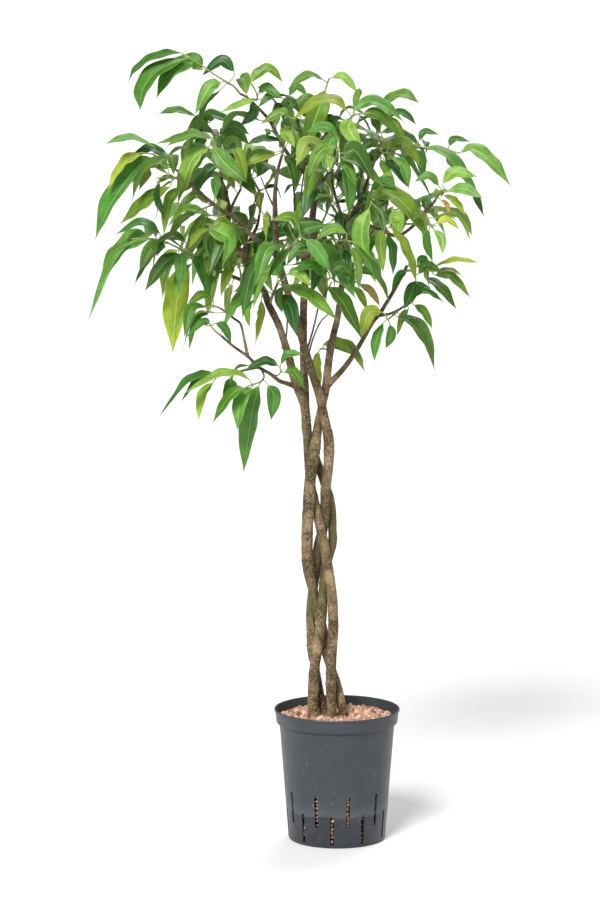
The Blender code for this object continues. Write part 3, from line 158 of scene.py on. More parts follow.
# Sprays seen from the front: name: (branch, twig points past the branch, leaves)
# A leaf is (tone, seen width, base, points along it as (x, z)); its tip is the last point
SPRAYS = {
    "spray_top_left_tip": ("a_long_top",
        ((-148, 1079, -22), (-166, 1089, -30), (-187, 1104, -38), (-213, 1120, -46)), (
        ("g", 10, (-219, 1124), (-250, 1120), (-280, 1103), (-294, 1082)),
        ("g", 22, (-213, 1117), (-250, 1100), (-272, 1075), (-277, 1044)),
        ("g", 22, (-176, 1110), (-205, 1112), (-235, 1095), (-254, 1061)),
        ("d", 15, (-145, 1098), (-163, 1112), (-190, 1092)),
        ("l", 18, (-160, 1084), (-180, 1075), (-200, 1038)))),
    "spray_top_left_inner": ("a_long_top", ((-112, 1060, -42), (-119, 1078, -74)), (
        ("g", 13, (-122, 1083), (-112, 1094), (-95, 1101), (-77, 1083)),
        ("g", 13, (-118, 1065), (-100, 1075), (-78, 1060)),
        ("d", 15, (-106, 1048), (-118, 1040), (-137, 1022)),
        ("l", 10, (-104, 1052), (-130, 1054), (-166, 1040)))),
    "spray_top_left_low": ("stem_b", ((-74, 1002, -52), (-66, 1022, -76), (-62, 1034, -94)), (
        ("g", 12, (-60, 1035), (-80, 1040), (-109, 1024)),
        ("d", 10, (-78, 1004), (-104, 1003), (-128, 996)),
        ("y", 18, (-66, 1022), (-72, 1012), (-60, 992)),
        ("o", 13, (-86, 982), (-108, 978), (-131, 966)),
        ("g", 12, (-84, 976), (-100, 966), (-114, 944)),
        ("d", 15, (-72, 986), (-64, 966), (-58, 932)))),
    "spray_left_upper": ("stem_c", ((-164, 978, 50), (-170, 1006, 54), (-190, 1030, 58)), (
        ("l", 10, (-200, 1036), (-225, 1044), (-251, 1039)),
        ("g", 13, (-195, 1036), (-175, 1038), (-138, 1023)),
        ("g", 13, (-174, 1024), (-192, 1032), (-211, 1018)),
        ("l", 13, (-166, 1010), (-200, 1008), (-256, 997)),
        ("d", 15, (-168, 1012), (-146, 1022), (-124, 1010)),
        ("l", 14, (-162, 1006), (-142, 1011), (-124, 996)),
        ("d", 12, (-184, 1016), (-200, 1016), (-214, 1003)))),
    "spray_left_facing": ("stem_c", ((-166, 966, 6), (-172, 985, -36), (-178, 998, -76)), (
        ("l", 20, (-175, 1000), (-205, 972), (-225, 912)),
        ("g", 26, (-180, 996), (-160, 972), (-128, 943)),
        ("d", 14, (-168, 986), (-148, 984), (-118, 968)),
        ("g", 16, (-184, 984), (-208, 968), (-227, 932)),
        ("d", 15, (-168, 972), (-182, 960), (-198, 934)),
        ("g", 12, (-178, 1004), (-205, 1010), (-240, 994)))),
    "spray_left_outer": ("b_left", ((-240, 969, -90), (-256, 981, -104), (-272, 984, -112)), (
        ("l", 9, (-256, 992), (-290, 1005), (-326, 997)),
        ("y", 12, (-276, 982), (-300, 970), (-324, 931)),
        ("l", 24, (-258, 978), (-285, 960), (-320, 910), (-341, 863)),
        ("d", 12, (-238, 976), (-262, 990), (-293, 977)))),
    "spray_left_mid": ("b_left", ((-222, 948, -104), (-238, 950, -134), (-252, 949, -158)), (
        ("d", 13, (-238, 962), (-254, 970), (-275, 955), (-289, 918)),
        ("o", 18, (-236, 936), (-270, 915), (-306, 884)),
        ("d", 10, (-254, 948), (-257, 925), (-243, 890)),
        ("g", 15, (-220, 936), (-236, 915), (-245, 868)),
        ("y", 7, (-226, 944), (-240, 950), (-256, 941)))),
    "spray_left_under": ("b_left", ((-184, 908, -40), (-196, 904, -28)), (
        ("g", 12, (-196, 910), (-218, 890), (-240, 862)),
        ("o", 16, (-188, 900), (-196, 880), (-214, 850)),
        ("l", 12, (-180, 915), (-200, 925), (-226, 905)))),
    "spray_far_left": ("c_far_left",
        ((-220, 848, 46), (-240, 858, 40), (-262, 864, 34), (-284, 864, 28)), (
        ("g", 11, (-250, 871), (-275, 887), (-312, 870)),
        ("l", 19, (-262, 861), (-292, 858), (-318, 825), (-352, 748)),
        ("g", 11, (-290, 858), (-316, 845), (-332, 815)),
        ("g", 20, (-240, 861), (-262, 851), (-280, 817)),
        ("d", 9, (-250, 850), (-268, 832), (-286, 800)))),
    "spray_left_hanging": ("c_far_left", ((-204, 842, 20), (-212, 850, -6), (-214, 852, -28)), (
        ("d", 20, (-222, 842), (-244, 828), (-272, 790)),
        ("l", 19, (-208, 862), (-218, 835), (-222, 788)),
        ("l", 20, (-204, 845), (-192, 826), (-182, 782)),
        ("g", 10, (-214, 860), (-236, 868), (-262, 850)))),
    "spray_left_big_leaves": ("c_far_left", ((-206, 836, 74), (-214, 838, 96)), (
        ("y", 35, (-218, 838), (-226, 780), (-233, 703)),
        ("y", 18, (-226, 848), (-240, 830), (-247, 780)),
        ("g", 18, (-205, 848), (-190, 838), (-176, 800)))),
    "spray_inner_left": ("stem_c", ((-160, 876, -16), (-172, 884, -62), (-184, 884, -104)), (
        ("l", 22, (-186, 888), (-170, 875), (-152, 862), (-163, 822)),
        ("g", 11, (-182, 892), (-162, 886), (-145, 875), (-133, 853)),
        ("d", 12, (-180, 872), (-180, 852), (-166, 826)))),
    "spray_inner_hanging": ("stem_c", ((-110, 789, -24), (-118, 786, -50)), (
        ("g", 10, (-114, 794), (-128, 797), (-147, 788)),
        ("l", 12, (-112, 783), (-130, 778), (-148, 764), (-166, 727)),
        ("g", 9, (-118, 778), (-126, 762), (-124, 738)),
        ("y", 11, (-108, 776), (-106, 755), (-116, 715)))),
    "spray_inner_olive": ("c_far_left", ((-138, 822, 4), (-144, 832, -14)), (
        ("o", 15, (-138, 832), (-154, 815), (-165, 782)),
        ("l", 12, (-150, 834), (-150, 815), (-140, 792)),
        ("d", 12, (-146, 842), (-166, 846), (-190, 832)))),
    "spray_low_left_up": ("c_low_up", ((-176, 769, 2), (-192, 768, 12)), (
        ("l", 7, (-184, 764), (-208, 760), (-236, 727)),
        ("g", 10, (-180, 760), (-198, 748), (-210, 706)),
        ("g", 12, (-176, 778), (-192, 784), (-214, 766)),
        ("y", 9, (-194, 764), (-200, 750), (-192, 728)))),
    "spray_low_left_mid": ("c_low_left", ((-174, 734, -52), (-180, 742, -58)), (
        ("g", 10, (-176, 746), (-190, 746), (-214, 724)),
        ("g", 9, (-164, 728), (-156, 712), (-142, 688)),
        ("g", 12, (-172, 744), (-160, 738), (-150, 715)))),
    "spray_low_left_tip": ("c_low_side", ((-158, 671, -74), (-172, 668, -92)), (
        ("g", 9, (-178, 671), (-210, 661), (-252, 612)),
        ("g", 9, (-166, 676), (-192, 666), (-222, 632)),
        ("y", 13, (-176, 660), (-190, 642), (-197, 606)),
        ("g", 18, (-152, 666), (-152, 652), (-162, 625)))),
    "spray_low_left_front": ("c_low_left", ((-104, 665, -64), (-114, 659, -100), (-126, 655, -132)), (
        ("l", 11, (-124, 664), (-150, 672), (-180, 664), (-218, 643)),
        ("g", 15, (-132, 652), (-152, 641), (-177, 602)),
        ("l", 20, (-118, 655), (-136, 635), (-142, 592)),
        ("g", 28, (-108, 656), (-122, 612), (-133, 532)),
        ("g", 20, (-98, 656), (-90, 640), (-94, 606)))),
    "spray_low_left_right": ("c_low_left", ((-84, 670, -40), (-80, 676, -56)), (
        ("g", 12, (-76, 678), (-62, 676), (-46, 650)),
        ("d", 12, (-84, 684), (-104, 690), (-132, 676)),
        ("l", 10, (-80, 686), (-70, 700), (-48, 700)))),
    "spray_behind_stems": ("stem_d", ((-14, 706, 26), (-22, 708, 44)), (
        ("y", 13, (-27, 704), (-30, 684), (-24, 650)),
        ("o", 17, (-20, 714), (0, 714), (22, 704), (39, 675)),
        ("y", 10, (-12, 716), (-2, 718), (12, 704)))),
    "spray_front_long": ("c_front", ((-82, 804, -88), (-76, 806, -110)), (
        ("l", 18, (-80, 798), (-42, 784), (0, 748)),
        ("l", 14, (-70, 814), (-56, 816), (-36, 795)),
        ("g", 11, (-84, 812), (-98, 818), (-118, 806)),
        ("d", 12, (-78, 796), (-84, 780), (-78, 758)))),
    "spray_front_upper": ("b_front", ((-60, 861, -134), (-52, 866, -158)), (
        ("g", 19, (-58, 866), (-46, 878), (-14, 884)),
        ("l", 20, (-44, 862), (-29, 848), (-12, 818)),
        ("g", 11, (-60, 852), (-78, 838), (-100, 806)),
        ("g", 14, (-54, 876), (-66, 894), (-92, 890)))),
    "spray_mid_left": ("stem_a", ((-34, 848, -20), (-30, 858, -54)), (
        ("l", 13, (-26, 864), (-12, 852), (-4, 795)),
        ("d", 18, (-30, 848), (-26, 826), (-38, 784)),
        ("g", 14, (-36, 856), (-54, 852), (-72, 826)))),
    "spray_mid_dark": ("stem_d", ((0, 802, -40), (-8, 808, -78), (-14, 806, -108)), (
        ("d", 20, (-14, 796), (6, 775), (34, 722)),
        ("g", 12, (-18, 812), (-38, 826), (-62, 820)),
        ("d", 14, (-12, 816), (4, 826), (20, 812)))),
    "spray_dark_cluster": ("stem_d", ((2, 852, 16), (-6, 862, 38), (-10, 870, 58)), (
        ("d", 18, (-16, 868), (-24, 852), (-36, 836)),
        ("d", 18, (-6, 862), (6, 852), (14, 826)),
        ("d", 16, (0, 872), (16, 876), (34, 858)),
        ("d", 14, (-16, 878), (-36, 884), (-58, 866)))),
    "spray_mid_front_right": ("stem_d", ((10, 858, -48), (10, 862, -92), (16, 860, -132)), (
        ("l", 26, (4, 852), (8, 822), (24, 780)),
        ("l", 13, (20, 852), (28, 830), (30, 790)),
        ("g", 9, (24, 858), (50, 822), (74, 772)),
        ("l", 14, (12, 872), (-8, 878), (-30, 862)))),
    "spray_orange": ("stem_d", ((14, 800, 10), (24, 803, 22)), (
        ("b", 11, (30, 800), (46, 790), (60, 768)),
        ("y", 11, (24, 796), (32, 784), (42, 762)),
        ("g", 12, (20, 810), (32, 820), (52, 812)))),
    "spray_low_right": ("d_low_right", ((104, 774, -10),), (
        ("g", 9, (104, 782), (124, 789), (150, 774)),
        ("o", 10, (100, 764), (92, 752), (84, 726)),
        ("g", 14, (98, 780), (110, 796), (132, 794)),
        ("g", 12, (108, 770), (122, 760), (134, 736)))),
    "spray_low_right_front": ("d_low_right", ((72, 750, -24), (70, 752, -62)), (
        ("o", 20, (62, 760), (44, 758), (33, 722)),
        ("d", 13, (80, 754), (106, 742), (132, 702)),
        ("l", 14, (64, 744), (56, 722), (52, 690)),
        ("g", 14, (74, 742), (76, 728), (68, 708)))),
    "spray_top": ("a_upright", ((-30, 1020, 24), (-24, 1048, 12), (-18, 1070, -2), (-14, 1084, -12)), (
        ("g", 30, (-16, 1078), (-28, 1042), (-47, 992)),
        ("g", 11, (-20, 1086), (-42, 1092), (-70, 1073)),
        ("l", 12, (-8, 1090), (8, 1090), (28, 1068)),
        ("g", 14, (-26, 1050), (-44, 1060), (-68, 1044)),
        ("d", 14, (-24, 1036), (-8, 1030), (4, 1008)))),
    "spray_top_left_up": ("a_long_top", ((-86, 1034, 14), (-78, 1050, 30), (-72, 1062, 44)), (
        ("g", 10, (-72, 1066), (-58, 1077), (-42, 1064)),
        ("l", 12, (-76, 1062), (-92, 1066), (-112, 1048)),
        ("g", 14, (-72, 1050), (-58, 1052), (-40, 1030)))),
    "spray_top_right": ("a_dark_top", ((14, 1024, -40), (20, 1036, -72), (40, 1040, -102)), (
        ("o", 14, (12, 1044), (-6, 1058), (-34, 1053), (-65, 1028)),
        ("l", 23, (16, 1040), (15, 1018), (34, 988)),
        ("l", 15, (22, 1044), (46, 1056), (68, 1048), (92, 1028)),
        ("o", 15, (30, 1036), (58, 1036), (91, 1004)))),
    "spray_top_right_tip": ("d_up", ((54, 1018, 30), (52, 1034, 24), (60, 1036, 14)), (
        ("g", 13, (50, 1042), (72, 1058), (92, 1066), (114, 1054)),
        ("d", 10, (68, 1036), (90, 1040), (110, 1024)),
        ("o", 15, (60, 1032), (80, 1022), (95, 996)),
        ("d", 13, (58, 1014), (84, 1014), (122, 990)))),
    "spray_crown_front": ("d_up_left", ((-4, 972, -128), (0, 990, -158)), (
        ("d", 22, (2, 1000), (26, 986), (52, 942)),
        ("g", 18, (-8, 994), (-26, 984), (-42, 950)),
        ("g", 14, (-4, 972), (14, 964), (26, 936)),
        ("l", 13, (0, 1004), (-16, 1020), (-44, 1014)),
        ("l", 17, (6, 968), (15, 940), (16, 893)),
        ("g", 13, (2, 980), (34, 968), (66, 934)))),
    "spray_far_right": ("d_far_right", ((156, 988, 34), (166, 985, 30)), (
        ("l", 18, (172, 985), (190, 990), (216, 970), (243, 938)),
        ("g", 14, (152, 982), (164, 966), (190, 936)),
        ("g", 9, (156, 994), (164, 1004), (186, 1000)))),
    "spray_right_upper": ("d_far_right", ((106, 996, 8), (112, 994, -12)), (
        ("l", 15, (120, 992), (150, 982), (175, 952), (200, 918)),
        ("g", 9, (114, 1002), (122, 1014), (142, 1010)),
        ("g", 15, (104, 988), (116, 976), (120, 946)),
        ("o", 12, (110, 986), (98, 970), (94, 940)))),
    "spray_right_tip": ("d_crown_right", ((144, 928, -80), (150, 933, -98)), (
        ("l", 16, (148, 942), (164, 957), (196, 951)),
        ("l", 16, (156, 932), (178, 934), (204, 921)),
        ("g", 11, (142, 938), (128, 952), (108, 944)),
        ("y", 10, (148, 926), (164, 916), (180, 896)),
        ("b", 7, (144, 922), (152, 912), (158, 896)))),
    "spray_upper_right": ("d_up", ((56, 976, 4), (62, 984, -20), (70, 984, -38)), (
        ("o", 15, (72, 992), (94, 996), (118, 962)),
        ("l", 12, (64, 978), (66, 962), (82, 934)),
        ("l", 14, (76, 978), (92, 966), (100, 934)),
        ("g", 13, (58, 992), (46, 998), (24, 982)),
        ("d", 16, (66, 974), (84, 962), (98, 936)),
        ("d", 14, (56, 978), (40, 974), (32, 950)))),
    "spray_right_big": ("d_up", ((36, 914, -36), (44, 918, -78), (48, 914, -112)), (
        ("o", 23, (52, 922), (76, 926), (102, 903), (127, 863)),
        ("l", 24, (44, 906), (34, 872), (42, 822)),
        ("g", 13, (46, 930), (62, 944), (84, 934)),
        ("l", 16, (40, 926), (46, 910), (52, 880)),
        ("d", 12, (54, 908), (62, 896), (66, 872)))),
    "spray_right_hanging": ("d_crown_right", ((62, 884, -84), (68, 886, -124)), (
        ("l", 16, (60, 880), (60, 858), (64, 815)),
        ("l", 19, (66, 896), (84, 894), (84, 860)),
        ("o", 13, (74, 882), (94, 850), (112, 800)),
        ("g", 13, (68, 878), (76, 850), (78, 812)))),
    "spray_right_dark": ("d_crown_right", ((116, 896, -34), (116, 904, -16)), (
        ("d", 13, (112, 913), (125, 916), (136, 892)),
        ("y", 9, (124, 899), (144, 904), (168, 889)),
        ("g", 13, (106, 897), (92, 892), (83, 867)))),
    "spray_right_lime": ("d_crown_right", ((126, 888, -92), (134, 882, -126)), (
        ("y", 9, (140, 886), (154, 890), (172, 876)),
        ("g", 12, (128, 876), (124, 860), (134, 830)),
        ("l", 12, (136, 876), (146, 864), (148, 842)))),
    "spray_right_low": ("d_right", ((110, 826, 34), (122, 820, 24), (134, 818, 16)), (
        ("g", 15, (108, 838), (120, 834), (128, 803)),
        ("g", 14, (138, 812), (158, 812), (188, 780)),
        ("d", 14, (122, 810), (144, 796), (168, 764)),
        ("y", 8, (136, 824), (164, 832), (199, 830)),
        ("b", 6, (140, 818), (158, 820), (176, 812)))),
    "spray_right_blue": ("d_right", ((104, 818, 10), (108, 812, -10)), (
        ("d", 19, (110, 804), (104, 788), (94, 764)),
        ("g", 12, (102, 816), (88, 812), (76, 790)),
        ("g", 13, (114, 814), (126, 826), (148, 816)))),
}

# Sprays of the far side: name: (branch, twig points, leaves set by rule, seed)
FAR_SPRAYS = {
    "spray_far_centre": ("a_back", ((-14, 904, 120), (-8, 922, 148), (-10, 934, 176)), 7, 11),
    "spray_far_centre_low": ("a_back", ((-42, 872, 100), (-62, 874, 132), (-76, 868, 160)), 6, 12),
    "spray_far_left_top": ("c_back", ((-108, 926, 104), (-122, 950, 136), (-136, 970, 166)), 7, 13),
    "spray_far_left_mid": ("c_back", ((-138, 880, 84), (-164, 894, 120), (-186, 896, 154)), 7, 14),
    "spray_far_left_side": ("c_top_right",
        ((-140, 950, 86), (-156, 972, 116), (-178, 984, 144)), 6, 15),
    "spray_far_right_mid": ("d_back", ((60, 888, 114), (76, 902, 140), (90, 906, 166)), 7, 16),
    "spray_far_right_low": ("d_back", ((22, 840, 92), (14, 842, 130), (12, 830, 166)), 6, 17),
    "spray_far_right_top": ("d_up", ((64, 1000, 56), (62, 1002, 86), (50, 998, 114)), 7, 18),
    "spray_far_top": ("a_upright", ((-30, 1004, 66), (-20, 1016, 102), (-14, 1018, 138)), 7, 19),
    "spray_far_low_left": ("c_far_left", ((-162, 830, 66), (-158, 838, 98), (-148, 840, 130)), 6, 20),
}

LEAF_RATIO = 0.33
LEAF_THICK = 0.85
LEAF_FOLD = 0.22
SWERVE = (-0.45, 0.3)
PETIOLE_R = 0.6
PETIOLE_MIN = 6.0
WIDEST_BEND = math.radians(95)
STATIONS = ((0.0, 0.07), (0.2, 0.76), (0.5, 1.0), (0.8, 0.56))
SMALL_STATIONS = ((0.0, 0.08), (0.36, 1.0), (0.76, 0.62))
SMALL_WIDTH = 24.0
BARE_SHARE = 0.22
RULE_LENGTH = (72, 104)
RULE_HANG = (0.3, 0.62)
RULE_SPREAD = (0.7, 1.3)
RULE_LIFT = (-0.25, 0.35)
RULE_ROLL = (-0.6, 0.6)
RULE_TONES = "dgggllo"
SWINGS = (0, -9, 9, -18, 18, -28, 28, -40, 40, -54, 54, -70, 70)
# Short leaves inside the crown: their spacing along the wood, length, stalk and tones; the tones lean to d, whose dark
# green is partly painted shade inside the crown
INNER_EVERY = 13.0
INNER_FROM = 690.0
INNER_LENGTH = (36, 72)
INNER_STALK = (7, 16)
INNER_TONES = "dddggglo"
# Patches that stay open between the leaves as seen from the front: (x, z) of the middle and reach
OPEN_PATCHES = (
    (-155, 1061, 26), (-136, 1118, 17), (-172, 1133, 20), (10, 1090, 26), (103, 1030, 20), (146, 1030, 32),
    (146, 980, 17), (146, 857, 32), (60, 807, 34), (110, 769, 27), (72, 707, 34), (93, 697, 23),
    (-179, 711, 34), (-224, 912, 26), (-191, 893, 20), (-136, 915, 19), (-19, 893, 19), (-95, 635, 17),
    (17, 743, 22), (139, 898, 17), (-205, 807, 14), (-105, 736, 26), (-133, 728, 23), (-33, 743, 29),
    (-298, 786, 29), (-83, 786, 12), (-40, 786, 14))
TWIG_R = (1.5, 1.1)
TWIG_SIDES = 4
STEM_SIDES = 6
BRANCH_SIDES = 4


def placed(x: float, z: float, y: float) -> Vector:
    """The point, in millimetres, seen from EYE at (x, z) on the reading plane and lying at depth y."""
    across = (y - EYE.y) / -EYE.y
    return EYE + (Vector((x, 0.0, z)) - EYE) * across


def smooth_path(points: Sequence[Vector], count: int) -> list[Vector]:
    """Runs a Catmull-Rom curve through points.

    Args:
        points: The control points.
        count: How many stretches the curve is cut into.

    Returns:
        count + 1 points, evenly spread over the control points.
    """
    ends = [points[0] * 2 - points[1], *points, points[-1] * 2 - points[-2]]
    spread = []
    for step in range(count + 1):
        place = step / count * (len(points) - 1)
        i = min(int(place), len(points) - 2)
        t = place - i
        p0, p1, p2, p3 = ends[i:i + 4]
        spread.append(0.5 * (2 * p1 + (p2 - p0) * t + (2 * p0 - 5 * p1 + 4 * p2 - p3) * t * t
                             + (3 * p1 - p0 - 3 * p2 + p3) * t ** 3))
    return spread


def nearest_on(path: Sequence[Vector], target: Vector) -> tuple[Vector, int]:
    """The point of a path nearest to the target, with the number of the stretch it lies on."""
    best = None
    for i in range(len(path) - 1):
        run = path[i + 1] - path[i]
        share = max(0.0, min(1.0, (target - path[i]).dot(run) / run.length_squared))
        point = path[i] + run * share
        gap = (target - point).length
        if best is None or gap < best[0]:
            best = (gap, point, i)
    return best[1], best[2]


def tube(path: Sequence[Vector], radii: Sequence[float], sides: int) -> Mesh:
    """A closed round tube along a path.

    Args:
        path: Its centre line.
        radii: Its radius at each point of the line.
        sides: How many faces go round it.

    Returns:
        Its vertices and faces.
    """
    verts, faces = [], []
    across = (path[1] - path[0]).orthogonal().normalized()
    for i, point in enumerate(path):
        along = (path[min(i + 1, len(path) - 1)] - path[max(i - 1, 0)]).normalized()
        across = (across - along * across.dot(along)).normalized()
        other = along.cross(across)
        for k in range(sides):
            turn = 2 * math.pi * k / sides
            verts.append(point + (across * math.cos(turn) + other * math.sin(turn)) * radii[i])
    for i in range(len(path) - 1):
        for k in range(sides):
            a, b = i * sides + k, i * sides + (k + 1) % sides
            faces.append((a, b, b + sides, a + sides))
    faces.append(tuple(reversed(range(sides))))
    faces.append(tuple(range(len(verts) - sides, len(verts))))
    return verts, faces


def taper(first: float, last: float, count: int) -> list[float]:
    """Radii that go evenly from the first to the last."""
    return [first + (last - first) * i / (count - 1) for i in range(count)]


def tree_of(mesh: Mesh) -> BVHTree:
    """A search tree of a mesh's faces."""
    return BVHTree.FromPolygons(*mesh)


@dataclass
class Leaf:
    """One leaf: the centre line of its blade, its width, and the way its face looks."""

    tone: str
    points: list[Vector]
    width: float
    face: Vector
    swing_way: Vector
    root: Optional[Vector] = None

    def __post_init__(self) -> None:
        """Sets the petiole's foot to the blade's base until a twig moves it."""
        if self.root is None:
            self.root = self.points[0]

    def swung(self, way: Vector, amount: float) -> "Leaf":
        """The same leaf with its tip moved that way by the amount, and its middle by less."""
        last = len(self.points) - 1
        moved = [p + way * (amount * (i / last) ** 2) for i, p in enumerate(self.points)]
        return Leaf(self.tone, moved, self.width, self.face, self.swing_way, self.root)

    def solid(self, grow: float = 0.0, bare: bool = False) -> Mesh:
        """The plain solid that stands for the leaf in the frame, grown by a margin.

        Args:
            grow: The margin.
            bare: Whether the petiole is left off.

        Returns:
            Its vertices and faces.
        """
        steps = 20
        line = smooth_path(self.points, steps)
        verts, faces, rings = [], [], []
        for share, width in SMALL_STATIONS if self.width < SMALL_WIDTH else STATIONS:
            i = round(share * steps)
            ahead = (line[min(i + 1, steps)] - line[max(i - 1, 0)]).normalized()
            side = ahead.cross(self.face).normalized()
            rings.append((line[i], ahead, side, self.width * width / 2 + grow, LEAF_THICK / 2 + grow))
        if not bare:
            place, ahead, side, half, thick = rings[0]
            stalk = (place - self.root).normalized()
            foot_side = ahead.rotation_difference(stalk) @ side
            foot_up = foot_side.cross(stalk)
            mitre = ahead.rotation_difference((ahead + stalk).normalized())
            rings[0] = (place, mitre @ ahead, mitre @ side, half, thick)
            for across, up in ((-0.87, 0.5), (0.87, 0.5), (0, -1)):
                verts.append(self.root + (foot_side * across + foot_up * up) * (PETIOLE_R + grow))
        first = len(verts)
        for place, ahead, side, half, thick in rings:
            up = side.cross(ahead).normalized()
            lift = up * (LEAF_FOLD * (half - PETIOLE_R))
            verts += [place - side * half + lift, place + up * thick]
            verts += [place + side * half + lift, place - up * thick]
        tip = len(verts)
        verts.append(line[-1] + (line[-1] - line[-2]).normalized() * grow)
        for a in range(first, tip - 4, 4):
            b = a + 4
            faces += [(a, b + 1, b), (a, a + 1, b + 1), (a + 1, b + 2, b + 1), (a + 1, a + 2, b + 2)]
            faces += [(a + 2, a + 3, b + 2), (a + 3, b + 3, b + 2), (a + 3, a, b + 3), (a, b, b + 3)]
        a = tip - 4
        faces += [(a, a + 1, tip), (a + 1, a + 2, tip), (a + 2, a + 3, tip), (a + 3, a, tip)]
        if bare:
            faces += [(0, 3, 1), (1, 3, 2)]
        else:
            faces += [(0, 2, 1), (0, 4, 3), (0, 1, 4), (1, 5, 4), (1, 2, 5), (2, 6, 5), (2, 0, 6), (0, 3, 6)]
        return verts, faces


def nearest_in_view(route: Sequence[Vector], spot: Spot) -> Vector:
    """The point of a twig's route that looks nearest to a spot of the reading plane."""
    best = None
    for point in smooth_path(route, 12 * (len(route) - 1)):
        seen = EYE + (point - EYE) * (-EYE.y / (point.y - EYE.y))
        gap = math.hypot(seen.x - spot[0], seen.z - spot[1])
        if best is None or gap < best[0]:
            best = (gap, point)
    return best[1]


def read_leaf(name: str, entry: tuple, route: Sequence[Vector]) -> Leaf:
    """Stands a leaf up from its seen outline.

    A narrow look is a blade rolled edge-on, and a short one is a foreshortened blade.

    Args:
        name: The spray that it grows on.
        entry: Its tone, seen width, and base, middle and tip as (x, z).
        route: The twig's line.

    Returns:
        The leaf.
    """
    tone, seen, *spots = entry
    flat = [placed(x, z, 0.0) for x, z in spots]
    base_depth = nearest_in_view(route, spots[0]).y
    length = sum((b - a).length for a, b in zip(flat, flat[1:]))
    swerve = random.Random(f"{name}{spots[-1]}").uniform(*SWERVE)
    real = max(length, seen / (LEAF_RATIO + 0.05))
    toward = swerve * length - math.sqrt(real * real - length * length)
    last = len(spots) - 1
    points = [placed(x, z, base_depth + toward * (i / last)) for i, (x, z) in enumerate(spots)]
    width = max(seen, LEAF_RATIO * real)
    sight = (points[0] - EYE).normalized()
    axis = (points[-1] - points[0]).normalized()
    flank = axis.cross(sight).normalized()
    roll = math.acos(min(1.0, seen / width))
    faces = [Matrix.Rotation(turn, 3, axis) @ flank for turn in (roll, -roll)]
    looks = [axis.cross(side) for side in faces]
    looks = [look if look.dot(sight) < 0 else -look for look in looks]
    face = max(looks, key=lambda look: look.z)
    return Leaf(tone, points, width, face, sight)


def rule_leaves(route: Sequence[Vector], count: int, seed: int) -> list[Leaf]:
    """Leaves set by turns on either side of a twig, the last at its end, hanging outward."""
    draw = random.Random(seed)
    line = smooth_path(route, 40)
    leaves = []
    for i in range(count):
        share = BARE_SHARE + (1 - BARE_SHARE) * i / (count - 1)
        place = line[round(share * 40)]
        ahead = (line[min(round(share * 40) + 1, 40)] - line[round(share * 40) - 1]).normalized()
        side = ahead.cross(UPWARD).normalized() * (1 if i % 2 else -1)
        spread = draw.uniform(*RULE_SPREAD) if i < count - 1 else 0.1
        way = (ahead + side * spread + UPWARD * draw.uniform(*RULE_LIFT)).normalized()
        length = draw.uniform(*RULE_LENGTH)
        base = place + way * 11
        middle = base + way * (length * 0.5)
        tip = base + way * (length * 0.86) - UPWARD * (length * draw.uniform(*RULE_HANG))
        face = Matrix.Rotation(draw.uniform(*RULE_ROLL), 3, way) @ UPWARD
        tone = draw.choice(RULE_TONES)
        leaves.append(Leaf(tone, [base, middle, tip], LEAF_RATIO * length * 0.9, face, side))
    return leaves


def rooted(leaf: Leaf, route: Sequence[Vector]) -> Leaf:
    """Sets the petiole's foot inside the twig, and the blade's base where one easy bend reaches it."""
    line = smooth_path(route, 12 * (len(route) - 1))[2:-1]
    foot, i = nearest_on(line, leaf.points[0])
    leaf.root = (foot + line[max(0, i - 1)]) / 2
    way = (leaf.points[1] - leaf.points[0]).normalized()
    arm = leaf.points[0] - leaf.root
    if arm.length < PETIOLE_MIN or arm.angle(way) > WIDEST_BEND:
        leaf.points[0] = leaf.root + way * max(PETIOLE_MIN, arm.length * 0.7)
    return leaf


def outside(point: Vector, tree: BVHTree) -> bool:
    """Whether a point lies clear of a closed mesh, on the outer side of it."""
    place, normal, index, gap = tree.find_nearest(point)
    return gap > CLEAR and (point - place).dot(normal) > 0


def clear_start(line: list[Vector], radius: float, trees: Sequence[BVHTree]) -> list[Vector]:
    """The line cut so that its first ring stands just clear of the wood around it."""
    run = smooth_path(line, 200)
    for i in range(len(run) - 1):
        along = (run[i + 1] - run[i]).normalized()
        across = along.orthogonal().normalized()
        ring = [run[i] + Matrix.Rotation(2 * math.pi * k / 10, 3, along) @ across * radius for k in range(10)]
        if all(outside(point, tree) for tree in trees for point in [*ring, run[i]]):
            cut_off = (run[i] - line[0]).length + 2 * radius
            return [run[i]] + [point for point in line if (point - line[0]).length > cut_off]
    return line


def in_open_patch(point: Vector) -> bool:
    """Says whether a point is seen in one of the patches that stay open between the leaves."""
    seen = EYE + (point - EYE) * (-EYE.y / (point.y - EYE.y))
    return any(math.hypot(seen.x - x, seen.z - z) < reach for x, z, reach in OPEN_PATCHES)


